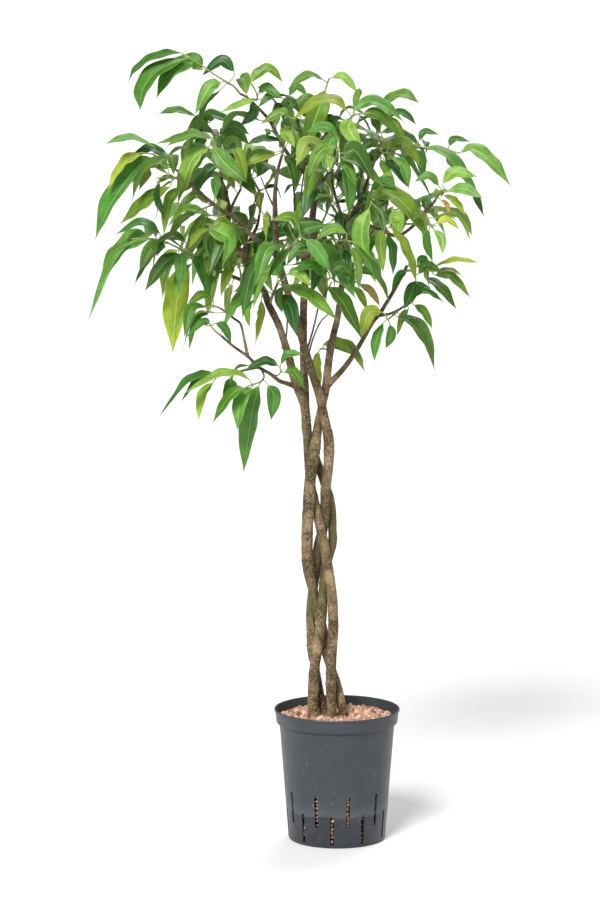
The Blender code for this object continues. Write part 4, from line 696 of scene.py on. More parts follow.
class Layout:
    """Where every stem, branch, twig and leaf of the frame lies, in millimetres."""

    def __init__(self) -> None:
        """Lays out the wood, the twigs and then the leaves, in that order."""
        self.stems: dict[str, Rows] = {"stem_a": STEM_A, "stem_b": STEM_B, "stem_c": STEM_C, "stem_d": STEM_D}
        self.paths: dict[str, list[Vector]] = {}
        self.trees: dict[str, list[BVHTree]] = {}
        self.wood: dict[str, list[Mesh]] = {}
        for name, rows in self.stems.items():
            path = [placed(x, z, y) for x, z, y, radius in rows]
            self.paths[name] = path
            self.wood[name] = [tube(path, [row[3] for row in rows], STEM_SIDES)]
        for name, (stem, first, last, points) in BRANCHES.items():
            path = [placed(*point) for point in points]
            self.paths[name] = path
            self.wood[stem].append(tube(path, taper(first, last, len(path)), BRANCH_SIDES))
        for name, meshes in self.wood.items():
            self.trees[name] = [tree_of(mesh) for mesh in meshes]
        self.twigs: dict[str, list[Vector]] = {}
        self.leaves: dict[str, list[Leaf]] = {}
        self.lay_twigs()
        self.lay_leaves()

    def lay_twigs(self) -> None:
        """Lays every twig, with its foot just clear of the branch it grows from."""
        for name, (branch, points, *rest) in {**SPRAYS, **FAR_SPRAYS}.items():
            ahead = [placed(*point) for point in points]
            foot, stretch = nearest_on(self.paths[branch], ahead[0])
            route = [foot, *ahead]
            line = smooth_path(route, len(route))
            stem = branch if branch in self.wood else BRANCHES[branch][0]
            line = clear_start(line, TWIG_R[0], self.trees[stem])
            self.twigs[name] = line
            self.trees[name] = [tree_of(tube(line, taper(*TWIG_R, len(line)), TWIG_SIDES))]

    def lay_leaves(self) -> None:
        """Lays every leaf, swung clear of whatever lay there first. One that finds no room is left off."""
        for name, (branch, points, *rest) in {**SPRAYS, **FAR_SPRAYS}.items():
            route = self.twigs[name]
            if name in SPRAYS:
                wanted = [read_leaf(name, entry, route) for entry in rest[0]]
            else:
                wanted = rule_leaves(route, *rest)
            own = []
            self.leaves[name] = []
            for leaf in wanted:
                found = self.clear_leaf(rooted(leaf, route), name, own)
                if found is None:
                    continue
                self.leaves[name].append(found)
                own.append(tree_of(found.solid(bare=True)))
                self.trees[name].append(tree_of(found.solid()))

    def clear_leaf(self, leaf: Leaf, name: str, own: list[BVHTree]) -> Optional[Leaf]:
        """Swings a leaf's tip as little as clears all else.

        Args:
            leaf: The leaf as read.
            name: Its spray.
            own: The blades already on that spray.

        Returns:
            The leaf where it has room, or None where no swing gives it any.
        """
        others = [tree for key, trees in self.trees.items() if key != name for tree in trees]
        for way, amount in [(leaf.swing_way, a) for a in SWINGS] + [(UPWARD, a) for a in SWINGS]:
            swung = leaf.swung(way, amount)
            whole = tree_of(swung.solid(grow=CLEAR))
            blade = tree_of(swung.solid(grow=CLEAR, bare=True))
            if any(whole.overlap(tree) for tree in others):
                continue
            if any(blade.overlap(tree) for tree in own):
                continue
            return swung
        return None

    def lay_inner(self) -> dict[str, list[Leaf]]:
        """Sets short leaves inside the crown, on branches and on the feet of twigs, where they clear all else.

        Returns:
            The leaves that grow straight from each stem's branches, by stem.
        """
        grown: dict[str, list[Leaf]] = {name: [] for name in self.wood}
        for branch, (stem, first, last, points) in BRANCHES.items():
            own = list(self.trees[stem])
            for leaf in self.inner_leaves(self.paths[branch], branch, 1.0):
                found = self.clear_leaf(leaf, stem, own)
                if found is not None:
                    grown[stem].append(found)
                    own.append(tree_of(found.solid(bare=True)))
                    self.trees["inner_" + stem] = self.trees.get("inner_" + stem, []) + [tree_of(found.solid())]
        for name, line in self.twigs.items():
            own = [tree_of(leaf.solid(bare=True)) for leaf in self.leaves[name]] + self.trees[name][:1]
            for leaf in self.inner_leaves(line, name, 0.75):
                found = self.clear_leaf(leaf, name, own)
                if found is not None:
                    self.leaves[name].append(found)
                    own.append(tree_of(found.solid(bare=True)))
                    self.trees[name].append(tree_of(found.solid()))
        return grown

    def inner_leaves(self, route: Sequence[Vector], name: str, reach: float) -> list[Leaf]:
        """Short leaves set round a run of wood by the turn between one leaf and the next.

        Args:
            route: The wood's centre line.
            name: Its name, which seeds their forms.
            reach: The share of it that carries them.

        Returns:
            The leaves, their stalks' feet in the wood.
        """
        draw = random.Random("inner " + name)
        line = smooth_path(route, 12 * (len(route) - 1))
        length = sum((b - a).length for a, b in zip(line, line[1:]))
        count = int(length * reach / INNER_EVERY)
        leaves = []
        for i in range(count):
            place = 1 + round((i + draw.uniform(0.2, 0.8)) / count * reach * (len(line) - 3))
            foot = line[place]
            if foot.z < INNER_FROM:
                continue
            ahead = (line[place + 1] - line[place - 1]).normalized()
            side = Matrix.Rotation(2.4 * i + draw.uniform(-0.5, 0.5), 3, ahead) @ ahead.orthogonal().normalized()
            way = (side + ahead * draw.uniform(0.1, 0.7) + UPWARD * draw.uniform(-0.1, 0.4)).normalized()
            size = draw.uniform(*INNER_LENGTH)
            base = foot + way * draw.uniform(*INNER_STALK)
            middle = base + way * (size * 0.5)
            tip = base + way * (size * 0.8) - UPWARD * (size * draw.uniform(0.3, 0.75))
            if any(in_open_patch(point) for point in (middle, (middle + tip) / 2, tip)):
                continue
            face = (UPWARD - way * way.dot(UPWARD)).normalized()
            face = Matrix.Rotation(draw.uniform(-0.7, 0.7), 3, way) @ face
            leaf = Leaf(draw.choice(INNER_TONES), [base, middle, tip], LEAF_RATIO * size, face, way.cross(face))
            leaf.root = foot
            leaves.append(leaf)
        return leaves


Socket = bpy.types.NodeSocket
Value = "float | Socket"


class NodeSketch:
    """Adds the nodes of one node tree and joins them."""

    def __init__(self, tree: bpy.types.NodeTree) -> None:
        """Starts on a tree."""
        self.tree = tree

    def add(self, kind: str, inputs: Optional[dict] = None, **settings: object) -> bpy.types.Node:
        """Adds one node.

        Args:
            kind: Its Blender type.
            inputs: A number, colour or socket for each input, by name or place.
            **settings: The node's own properties.

        Returns:
            The node.
        """
        node = self.tree.nodes.new(kind)
        for key, value in settings.items():
            setattr(node, key, value)
        for key, value in (inputs or {}).items():
            if isinstance(value, bpy.types.NodeSocket):
                self.tree.links.new(value, node.inputs[key])
            elif isinstance(value, tuple) and len(value) == 3 and node.inputs[key].type == "RGBA":
                node.inputs[key].default_value = (*value, 1.0)
            else:
                node.inputs[key].default_value = value
        return node

    def math(self, operation: str, first: Value, second: Value = 0.0, third: Value = 0.0) -> Socket:
        """The result of one sum on up to three values."""
        inputs = {0: first, 1: second, 2: third}
        return self.add("ShaderNodeMath", inputs, operation=operation).outputs[0]

    def mix(self, factor: Value, first: object, second: object, blend: str = "MIX") -> Socket:
        """Two colours mixed by a factor."""
        inputs = {0: factor, 6: first, 7: second}
        return self.add("ShaderNodeMix", inputs, data_type="RGBA", blend_type=blend).outputs[2]

    def span(self, value: Value, low: float, high: float, start: float = 0.0, end: float = 1.0) -> Socket:
        """A value moved from one range to another with soft ends."""
        inputs = {0: value, 1: low, 2: high, 3: start, 4: end}
        return self.add("ShaderNodeMapRange", inputs, interpolation_type="SMOOTHSTEP").outputs[0]

    def ramp(self, factor: Value, stops: Sequence[tuple[float, Colour]]) -> Socket:
        """A colour read from a run of stops."""
        node = self.add("ShaderNodeValToRGB", {0: factor})
        marks = node.color_ramp.elements
        while len(marks) < len(stops):
            marks.new(0.5)
        for mark, (place, colour) in zip(marks, stops):
            mark.position = place
            mark.color = (*colour, 1.0)
        return node.outputs[0]

    def noise(self, vector: Socket, scale: Value, detail: float = 3.0, rough: float = 0.55) -> Socket:
        """Soft noise from 0 to 1 at a scale."""
        inputs = {"Vector": vector, "Scale": scale, "Detail": detail, "Roughness": rough}
        return self.add("ShaderNodeTexNoise", inputs).outputs[0]

    def mark(self, name: str) -> Socket:
        """A number that the mesh carries."""
        return self.add("ShaderNodeAttribute", attribute_name=name).outputs["Fac"]

    def effect(self, group: bpy.types.NodeTree, inputs: dict) -> bpy.types.Node:
        """Places a shared effect with its own values."""
        node = self.tree.nodes.new("ShaderNodeGroup")
        node.node_tree = group
        for key, value in inputs.items():
            if isinstance(value, bpy.types.NodeSocket):
                self.tree.links.new(value, node.inputs[key])
            else:
                node.inputs[key].default_value = value
        return node


class Effects:
    """The effects that several finishes share, each a node group made once."""

    def __init__(self) -> None:
        """Makes every effect."""
        self.mottle = self.make_mottle()
        self.dots = self.make_dots()
        self.veins = self.make_veins()
        self.blade_tint = self.make_blade_tint()

    def group(self, name: str, inputs: dict[str, str], outputs: dict[str, str]) -> tuple:
        """An empty group with named sockets.

        Args:
            name: The group's name.
            inputs: The type of each input.
            outputs: The type of each output.

        Returns:
            The tree, its sketch, its input node and its output node.
        """
        tree = bpy.data.node_groups.new(name, "ShaderNodeTree")
        for key, kind in inputs.items():
            tree.interface.new_socket(key, in_out="INPUT", socket_type=kind)
        for key, kind in outputs.items():
            tree.interface.new_socket(key, in_out="OUTPUT", socket_type=kind)
        sketch = NodeSketch(tree)
        return tree, sketch, sketch.add("NodeGroupInput"), sketch.add("NodeGroupOutput")

    def make_mottle(self) -> bpy.types.NodeTree:
        """Soft patches: a mask that comes and goes over the surface."""
        tree, sketch, start, end = self.group(
            "soft_patches",
            {"Vector": "NodeSocketVector", "Scale": "NodeSocketFloat", "Low": "NodeSocketFloat",
             "High": "NodeSocketFloat"},
            {"Mask": "NodeSocketFloat"})
        patches = sketch.noise(start.outputs["Vector"], start.outputs["Scale"], 5.0, 0.6)
        mask = sketch.add("ShaderNodeMapRange", {0: patches, 1: start.outputs["Low"], 2: start.outputs["High"]},
                          interpolation_type="SMOOTHSTEP").outputs[0]
        tree.links.new(mask, end.inputs["Mask"])
        return tree

    def make_dots(self) -> bpy.types.NodeTree:
        """Scattered round dots: pores on bark and skin, grit on clay and specks of dust on plastic."""
        tree, sketch, start, end = self.group(
            "scattered_dots",
            {"Vector": "NodeSocketVector", "Scale": "NodeSocketFloat", "Radius": "NodeSocketFloat",
             "Share": "NodeSocketFloat"},
            {"Mask": "NodeSocketFloat"})
        cells = sketch.add("ShaderNodeTexVoronoi", {"Vector": start.outputs["Vector"],
                                                    "Scale": start.outputs["Scale"], "Randomness": 1.0})
        pick = sketch.add("ShaderNodeSeparateColor", {0: cells.outputs["Color"]})
        size = sketch.math("MULTIPLY", start.outputs["Radius"], sketch.math("ADD", pick.outputs[1], 0.4))
        inner = sketch.math("MULTIPLY", size, 0.55)
        near = sketch.add("ShaderNodeMapRange", {0: cells.outputs["Distance"], 1: inner, 2: size, 3: 1.0, 4: 0.0},
                          interpolation_type="SMOOTHSTEP").outputs[0]
        chosen = sketch.math("LESS_THAN", pick.outputs[0], start.outputs["Share"])
        tree.links.new(sketch.math("MULTIPLY", near, chosen), end.inputs["Mask"])
        return tree

    def make_veins(self) -> bpy.types.NodeTree:
        """A leaf's midrib, its fine side veins and its margin, from a map of u across and v along."""
        tree, sketch, start, end = self.group(
            "leaf_veins",
            {"Blade": "NodeSocketVector", "Pairs": "NodeSocketFloat"},
            {"Midrib": "NodeSocketFloat", "Side Veins": "NodeSocketFloat", "Margin": "NodeSocketFloat",
             "Base": "NodeSocketFloat"})
        blade = sketch.add("ShaderNodeSeparateXYZ", {0: start.outputs["Blade"]})
        across = sketch.math("ABSOLUTE", sketch.math("MULTIPLY_ADD", blade.outputs[0], 2.0, -1.0))
        along = blade.outputs[1]
        tree.links.new(sketch.span(across, 0.018, 0.075, 1.0, 0.0), end.inputs["Midrib"])
        bow = sketch.math("POWER", across, 1.35)
        row = sketch.math("SUBTRACT", along, sketch.math("MULTIPLY", bow, 0.13))
        place = sketch.math("FRACT", sketch.math("MULTIPLY", row, start.outputs["Pairs"]))
        off = sketch.math("ABSOLUTE", sketch.math("SUBTRACT", place, 0.5))
        lines = sketch.span(off, 0.0, 0.22, 1.0, 0.0)
        fade = sketch.span(across, 0.78, 0.97, 1.0, 0.0)
        tree.links.new(sketch.math("MULTIPLY", lines, fade), end.inputs["Side Veins"])
        tree.links.new(sketch.span(across, 0.93, 1.0), end.inputs["Margin"])
        tree.links.new(sketch.span(along, 0.0, 0.2, 1.0, 0.0), end.inputs["Base"])
        return tree

    def make_blade_tint(self) -> bpy.types.NodeTree:
        """Moves a leaf's colour by its own number, so that no two leaves are quite alike."""
        tree, sketch, start, end = self.group(
            "leaf_tint",
            {"Color": "NodeSocketColor", "Number": "NodeSocketFloat", "Strength": "NodeSocketFloat"},
            {"Color": "NodeSocketColor"})
        shift = sketch.math("MULTIPLY", sketch.math("SUBTRACT", start.outputs["Number"], 0.5),
                            start.outputs["Strength"])
        hue = sketch.math("MULTIPLY_ADD", shift, -0.07, 0.5)
        lift = sketch.math("MULTIPLY_ADD", shift, 0.75, 1.0)
        tinted = sketch.add("ShaderNodeHueSaturation", {"Hue": hue, "Saturation": 1.0, "Value": lift,
                                                        "Color": start.outputs["Color"]})
        tree.links.new(tinted.outputs[0], end.inputs["Color"])
        return tree


def new_material(name: str) -> tuple[bpy.types.Material, NodeSketch, bpy.types.Node]:
    """An empty material with its sketch and its Principled shader."""
    material = bpy.data.materials.new(name)
    material.use_nodes = True
    return material, NodeSketch(material.node_tree), material.node_tree.nodes["Principled BSDF"]


@dataclass(frozen=True)
class BladeFinish:
    """The finish of one tone of leaf: its upper face, its paler underside, veins, sheen, and a pale margin that is
    partly the leaf's own and partly a painted edge highlight.
    """

    name: str
    upper: Colour
    under: Colour
    rib: Colour
    roughness: float = 0.36
    pairs: float = 26.0

    def material(self, effects: Effects) -> bpy.types.Material:
        """Makes the material.

        Args:
            effects: The shared effects.

        Returns:
            The leaf material.
        """
        material, sketch, shader = new_material(self.name)
        uv = sketch.add("ShaderNodeTexCoord").outputs["UV"]
        place = sketch.add("ShaderNodeTexCoord").outputs["Object"]
        veins = sketch.effect(effects.veins, {"Blade": uv, "Pairs": self.pairs}).outputs
        patches = sketch.effect(effects.mottle, {"Vector": place, "Scale": 60.0, "Low": 0.3, "High": 0.72}).outputs[0]
        seed = sketch.mark("leaf_number")
        under = sketch.mark("underside")
        deep = tuple(c * 0.72 for c in self.upper)
        light = tuple(min(1.0, c * 1.22 + 0.004) for c in self.upper)
        skin = sketch.mix(patches, deep, light)
        skin = sketch.mix(sketch.math("MULTIPLY", veins["Side Veins"], 0.16), skin, self.rib)
        skin = sketch.mix(sketch.math("MULTIPLY", veins["Midrib"], 0.75), skin, self.rib)
        # The pale margin: partly the leaf's own edge colour, partly a painted highlight along the edge
        skin = sketch.mix(sketch.math("MULTIPLY", veins["Margin"], 0.70), skin, self.rib)
        skin = sketch.mix(sketch.math("MULTIPLY", veins["Base"], 0.25), skin, self.rib)
        back = sketch.mix(patches, tuple(c * 0.9 for c in self.under), self.under)
        back = sketch.mix(sketch.math("MULTIPLY", veins["Side Veins"], 0.35), back, tuple(c * 0.8 for c in self.under))
        back = sketch.mix(sketch.math("MULTIPLY", veins["Midrib"], 0.85), back, self.rib)
        both = sketch.mix(under, skin, back)
        tinted = sketch.effect(effects.blade_tint, {"Color": both, "Number": seed, "Strength": 0.8}).outputs[0]
        sketch.tree.links.new(tinted, shader.inputs["Base Color"])
        gloss = sketch.math("MULTIPLY_ADD", patches, 0.10, self.roughness)
        gloss = sketch.math("MULTIPLY_ADD", under, 0.22, gloss)
        sketch.tree.links.new(gloss, shader.inputs["Roughness"])
        grain = sketch.noise(place, 900.0, 2.0)
        relief = sketch.math("MULTIPLY", veins["Side Veins"], 0.8)
        relief = sketch.math("MULTIPLY_ADD", grain, 0.25, relief)
        relief = sketch.math("MULTIPLY_ADD", patches, 0.5, relief)
        bump = sketch.add("ShaderNodeBump", {"Strength": 0.32, "Distance": 0.0004, "Height": relief})
        sketch.tree.links.new(bump.outputs[0], shader.inputs["Normal"])
        shader.inputs["Specular IOR Level"].default_value = 0.38
        shader.inputs["Subsurface Weight"].default_value = 0.10
        shader.inputs["Subsurface Radius"].default_value = (0.35, 1.0, 0.12)
        shader.inputs["Subsurface Scale"].default_value = 0.004
        return material


@dataclass(frozen=True)
class StalkFinish:
    """The smooth green skin of petioles, buds and young twigs, browner towards the older wood."""

    name: str = "green_stalk"
    young: Colour = (0.30, 0.40, 0.10)
    old: Colour = (0.15, 0.115, 0.065)

    def material(self, effects: Effects) -> bpy.types.Material:
        """Makes the stalk material."""
        material, sketch, shader = new_material(self.name)
        place = sketch.add("ShaderNodeTexCoord").outputs["Object"]
        patches = sketch.effect(effects.mottle, {"Vector": place, "Scale": 150.0, "Low": 0.3, "High": 0.7}).outputs[0]
        pores = sketch.effect(effects.dots, {"Vector": place, "Scale": 420.0, "Radius": 0.4, "Share": 0.4}).outputs[0]
        age = sketch.math("MULTIPLY_ADD", patches, 0.25, sketch.math("SUBTRACT", sketch.mark("age"), 0.12))
        skin = sketch.mix(age, self.young, self.old)
        skin = sketch.mix(sketch.math("MULTIPLY", pores, sketch.mark("age")), skin, (0.42, 0.36, 0.22))
        sketch.tree.links.new(skin, shader.inputs["Base Color"])
        sketch.tree.links.new(sketch.math("MULTIPLY_ADD", sketch.mark("age"), 0.3, 0.42), shader.inputs["Roughness"])
        bump = sketch.add("ShaderNodeBump", {"Strength": 0.4, "Distance": 0.0004, "Height": pores})
        sketch.tree.links.new(bump.outputs[0], shader.inputs["Normal"])
        return material


@dataclass(frozen=True)
class BarkFinish:
    """Grey-brown bark: lengthwise streaks, pale pores, dark flecks, moss green and painted shade in the crevices
    between strands.
    """

    name: str = "fig_bark"
    dark: Colour = (0.022, 0.013, 0.004)
    middle: Colour = (0.165, 0.104, 0.044)
    light: Colour = (0.460, 0.340, 0.190)
    pore: Colour = (0.70, 0.56, 0.34)
    moss: Colour = (0.085, 0.086, 0.012)
    # Near-black painted shade for the deepest crevices between the strands
    painted_crevice_shade: Colour = (0.012, 0.012, 0.002)

    def material(self, effects: Effects) -> bpy.types.Material:
        """Makes the bark material.

        Args:
            effects: The shared effects.

        Returns:
            The bark material.
        """
        material, sketch, shader = new_material(self.name)
        place = sketch.add("ShaderNodeTexCoord").outputs["Object"]
        uv = sketch.add("ShaderNodeTexCoord").outputs["UV"]
        long_uv = sketch.add("ShaderNodeMapping", {"Vector": uv, "Scale": (1.0, 0.22, 1.0)}).outputs[0]
        streaks = sketch.noise(long_uv, 9.0, 6.0, 0.65)
        patches = sketch.effect(effects.mottle, {"Vector": place, "Scale": 42.0, "Low": 0.32, "High": 0.70}).outputs[0]
        fine = sketch.noise(place, 620.0, 4.0, 0.7)
        wood = sketch.math("ADD", sketch.math("MULTIPLY", streaks, 0.55), sketch.math("MULTIPLY", fine, 0.30))
        wood = sketch.math("MULTIPLY_ADD", patches, 0.22, wood)
        colour = sketch.ramp(wood, ((0.38, self.dark), (0.51, self.middle), (0.68, self.light)))
        wide_uv = sketch.add("ShaderNodeMapping", {"Vector": uv, "Scale": (0.75, 1.15, 1.0)}).outputs[0]
        pores = sketch.effect(effects.dots, {"Vector": wide_uv, "Scale": 4.4, "Radius": 0.38, "Share": 0.50}).outputs[0]
        small = sketch.effect(effects.dots, {"Vector": wide_uv, "Scale": 8.5, "Radius": 0.40, "Share": 0.50}).outputs[0]
        flecks = sketch.effect(effects.dots, {"Vector": uv, "Scale": 6.0, "Radius": 0.46, "Share": 0.40}).outputs[0]
        colour = sketch.mix(sketch.math("MULTIPLY", flecks, 0.80), colour, self.dark)
        colour = sketch.mix(sketch.math("MULTIPLY", small, 0.60), colour, self.pore)
        colour = sketch.mix(sketch.math("MULTIPLY", pores, 0.85), colour, self.pore)
        # The damp mark is nearness to the other strands: it lays moss green, partly real and partly painted shade, then
        # near-black painted shade deep in the crevices
        damp = sketch.math("MULTIPLY", sketch.mark("damp"), sketch.math("MULTIPLY_ADD", patches, 0.5, 0.65))
        colour = sketch.mix(sketch.span(damp, 0.08, 0.60, 0.0, 0.80), colour, self.moss)
        colour = sketch.mix(sketch.span(damp, 0.55, 1.0, 0.0, 0.92), colour, self.painted_crevice_shade)
        growth = sketch.math("MULTIPLY", sketch.mark("moss"), sketch.math("MULTIPLY_ADD", patches, 0.45, 0.55))
        colour = sketch.mix(growth, colour, self.moss)
        colour = sketch.mix(sketch.math("MULTIPLY", sketch.mark("scar"), 0.85), colour, (0.020, 0.014, 0.008))
        shade = sketch.math("MULTIPLY_ADD", sketch.mark("age"), -0.42, 1.0)
        tone = sketch.add("ShaderNodeHueSaturation", {"Saturation": 1.0, "Value": shade, "Color": colour})
        sketch.tree.links.new(tone.outputs[0], shader.inputs["Base Color"])
        sketch.tree.links.new(sketch.math("MULTIPLY_ADD", fine, 0.2, 0.72), shader.inputs["Roughness"])
        relief = sketch.math("MULTIPLY_ADD", streaks, 1.0, sketch.math("MULTIPLY", fine, 0.45))
        relief = sketch.math("MULTIPLY_ADD", pores, 0.6, relief)
        relief = sketch.math("MULTIPLY_ADD", small, 0.3, relief)
        relief = sketch.math("MULTIPLY_ADD", flecks, -0.7, relief)
        bump = sketch.add("ShaderNodeBump", {"Strength": 1.0, "Distance": 0.0020, "Height": relief})
        sketch.tree.links.new(bump.outputs[0], shader.inputs["Normal"])
        return material


@dataclass(frozen=True)
class ClayFinish:
    """Fired clay granules: each its own red-brown, with a rough porous skin and pale dust."""

    name: str = "fired_clay"

    def material(self, effects: Effects) -> bpy.types.Material:
        """Makes the clay material."""
        material, sketch, shader = new_material(self.name)
        place = sketch.add("ShaderNodeTexCoord").outputs["Object"]
        tint = sketch.mark("tint")
        fine = sketch.noise(place, 900.0, 4.0, 0.7)
        colour = sketch.ramp(tint, ((0.0, (0.11, 0.040, 0.024)), (0.3, (0.34, 0.150, 0.090)),
                                    (0.65, (0.58, 0.330, 0.220)), (1.0, (0.86, 0.62, 0.47))))
        holes = sketch.effect(effects.dots, {"Vector": place, "Scale": 1100.0, "Radius": 0.45, "Share": 0.4}).outputs[0]
        colour = sketch.mix(sketch.math("MULTIPLY", holes, 0.6), colour, (0.07, 0.025, 0.013))
        dust = sketch.span(fine, 0.5, 0.75, 0.0, 0.35)
        colour = sketch.mix(dust, colour, (0.68, 0.48, 0.36))
        sketch.tree.links.new(colour, shader.inputs["Base Color"])
        shader.inputs["Roughness"].default_value = 0.93
        relief = sketch.math("MULTIPLY_ADD", holes, -0.8, fine)
        bump = sketch.add("ShaderNodeBump", {"Strength": 0.8, "Distance": 0.0007, "Height": relief})
        sketch.tree.links.new(bump.outputs[0], shader.inputs["Normal"])
        return material


@dataclass(frozen=True)
class PotFinish:
    """Slate-grey moulded plastic with a matt bloom, dust, scuffs and a damp line near the slots."""

    name: str = "pot_plastic"
    base: Colour = (0.036, 0.043, 0.051)
    dust: Colour = (0.150, 0.160, 0.168)
    damp: Colour = (0.019, 0.023, 0.029)
    line_z: float = 46.0

    def material(self, effects: Effects) -> bpy.types.Material:
        """Makes the pot's plastic.

        Args:
            effects: The shared effects.

        Returns:
            The plastic material.
        """
        material, sketch, shader = new_material(self.name)
        place = sketch.add("ShaderNodeTexCoord").outputs["Object"]
        height = sketch.add("ShaderNodeSeparateXYZ", {0: place}).outputs[2]
        wander = sketch.noise(place, 14.0, 3.0)
        level = sketch.math("MULTIPLY_ADD", wander, 0.014, sketch.math("SUBTRACT", height, 0.007))
        wet = sketch.span(level, (self.line_z - 3) * MM, (self.line_z + 2) * MM, 1.0, 0.0)
        above = sketch.span(level, self.line_z * MM, (self.line_z + 22) * MM, 1.0, 0.0)
        band = sketch.math("MULTIPLY", above, sketch.math("SUBTRACT", 1.0, wet))
        patches = sketch.effect(effects.mottle, {"Vector": place, "Scale": 22.0, "Low": 0.35, "High": 0.75}).outputs[0]
        cloud = sketch.effect(effects.mottle, {"Vector": place, "Scale": 95.0, "Low": 0.42, "High": 0.80}).outputs[0]
        specks = sketch.effect(effects.dots, {"Vector": place, "Scale": 230.0, "Radius": 0.16, "Share": 0.10}).outputs[0]
        tall = sketch.add("ShaderNodeMapping", {"Vector": place, "Scale": (1.0, 1.0, 0.08)}).outputs[0]
        scuffs = sketch.span(sketch.noise(tall, 260.0, 3.0, 0.6), 0.60, 0.80)
        colour = sketch.mix(sketch.math("MULTIPLY", wet, 0.75), self.base, self.damp)
        soft = sketch.math("MULTIPLY_ADD", band, 0.22, sketch.math("MULTIPLY", patches, 0.10))
        soft = sketch.math("MULTIPLY_ADD", cloud, 0.07, soft)
        soft = sketch.math("MULTIPLY_ADD", scuffs, 0.05, soft)
        colour = sketch.mix(soft, colour, self.dust)
        colour = sketch.mix(sketch.math("MULTIPLY", specks, 0.55), colour, (0.42, 0.42, 0.40))
        sketch.tree.links.new(colour, shader.inputs["Base Color"])
        gloss = sketch.math("MULTIPLY_ADD", cloud, 0.12, 0.40)
        gloss = sketch.math("MULTIPLY_ADD", wet, -0.06, gloss)
        sketch.tree.links.new(gloss, shader.inputs["Roughness"])
        grain = sketch.noise(place, 1300.0, 2.0)
        bump = sketch.add("ShaderNodeBump", {"Strength": 0.10, "Distance": 0.0003, "Height": grain})
        sketch.tree.links.new(bump.outputs[0], shader.inputs["Normal"])
        shader.inputs["Specular IOR Level"].default_value = 0.36
        return material


@dataclass(frozen=True)
class PlainFinish:
    """A quiet matt finish with fine noise, for roots, shade inside the pot and the floor."""

    name: str
    colour: Colour
    roughness: float = 0.85
    contrast: float = 0.25
    scale: float = 300.0

    def material(self, effects: Effects) -> bpy.types.Material:
        """Makes the matt material."""
        material, sketch, shader = new_material(self.name)
        place = sketch.add("ShaderNodeTexCoord").outputs["Object"]
        patches = sketch.effect(effects.mottle, {"Vector": place, "Scale": self.scale, "Low": 0.3, "High": 0.7}).outputs[0]
        darker = tuple(c * (1 - self.contrast) for c in self.colour)
        sketch.tree.links.new(sketch.mix(patches, darker, self.colour), shader.inputs["Base Color"])
        shader.inputs["Roughness"].default_value = self.roughness
        return material


class Gather:
    """Gathers the vertices and faces of one piece, with the map and the marks that they carry."""

    def __init__(self) -> None:
        """Starts empty."""
        self.verts: list[Vector] = []
        self.faces: list[tuple[int, ...]] = []
        self.slots: list[int] = []
        self.maps: list[tuple[float, float]] = []
        self.marks: dict[str, list[float]] = {}

    def add(self, verts: Sequence[Vector], faces: Sequence[tuple], slot: int = 0,
            maps: Optional[Sequence[Sequence[tuple[float, float]]]] = None, **marks: object) -> None:
        """Adds one closed form.

        Args:
            verts: Its vertices, in millimetres.
            faces: Its faces.
            slot: The place of its material in the piece.
            maps: The map place of each corner of each face.
            **marks: Numbers for the vertices, one each or one for all.
        """
        first = len(self.verts)
        for key in marks:
            self.marks.setdefault(key, [0.0] * first)
        for key, values in self.marks.items():
            given = marks.get(key, 0.0)
            values.extend(given if isinstance(given, list) else [float(given)] * len(verts))
        self.verts.extend(verts)
        for i, face in enumerate(faces):
            self.faces.append(tuple(first + k for k in face))
            self.slots.append(slot)
            self.maps.extend(maps[i] if maps else [(0.5, 0.5)] * len(face))

    def piece(self, name: str, materials: Sequence[bpy.types.Material], sharp: float = 180.0) -> bpy.types.Object:
        """Makes the object.

        Args:
            name: The piece's name.
            materials: Its materials, by slot.
            sharp: The angle in degrees above which an edge looks sharp.

        Returns:
            The object.
        """
        data = bpy.data.meshes.new(name)
        data.from_pydata([tuple(v * MM) for v in self.verts], [], self.faces)
        data.update()
        data.polygons.foreach_set("material_index", self.slots)
        layer = data.uv_layers.new(name="UVMap")
        layer.data.foreach_set("uv", [c for spot in self.maps for c in spot])
        for key, values in self.marks.items():
            data.attributes.new(key, "FLOAT", "POINT").data.foreach_set("value", values)
        for material in materials:
            data.materials.append(material)
        data.shade_smooth()
        if sharp < 180:
            data.set_sharp_from_angle(angle=math.radians(sharp))
        obj = bpy.data.objects.new(name, data)
        bpy.context.scene.collection.objects.link(obj)
        return obj


def between(stops: Sequence[tuple[float, float]], place: float) -> float:
    """Reads a smooth run of (place, value) stops."""
    for (a, low), (b, high) in zip(stops, stops[1:]):
        if place <= b:
            t = (place - a) / (b - a)
            return low + (high - low) * t * t * (3 - 2 * t) if b - a > 0.2 else low + (high - low) * t
    return stops[-1][1]


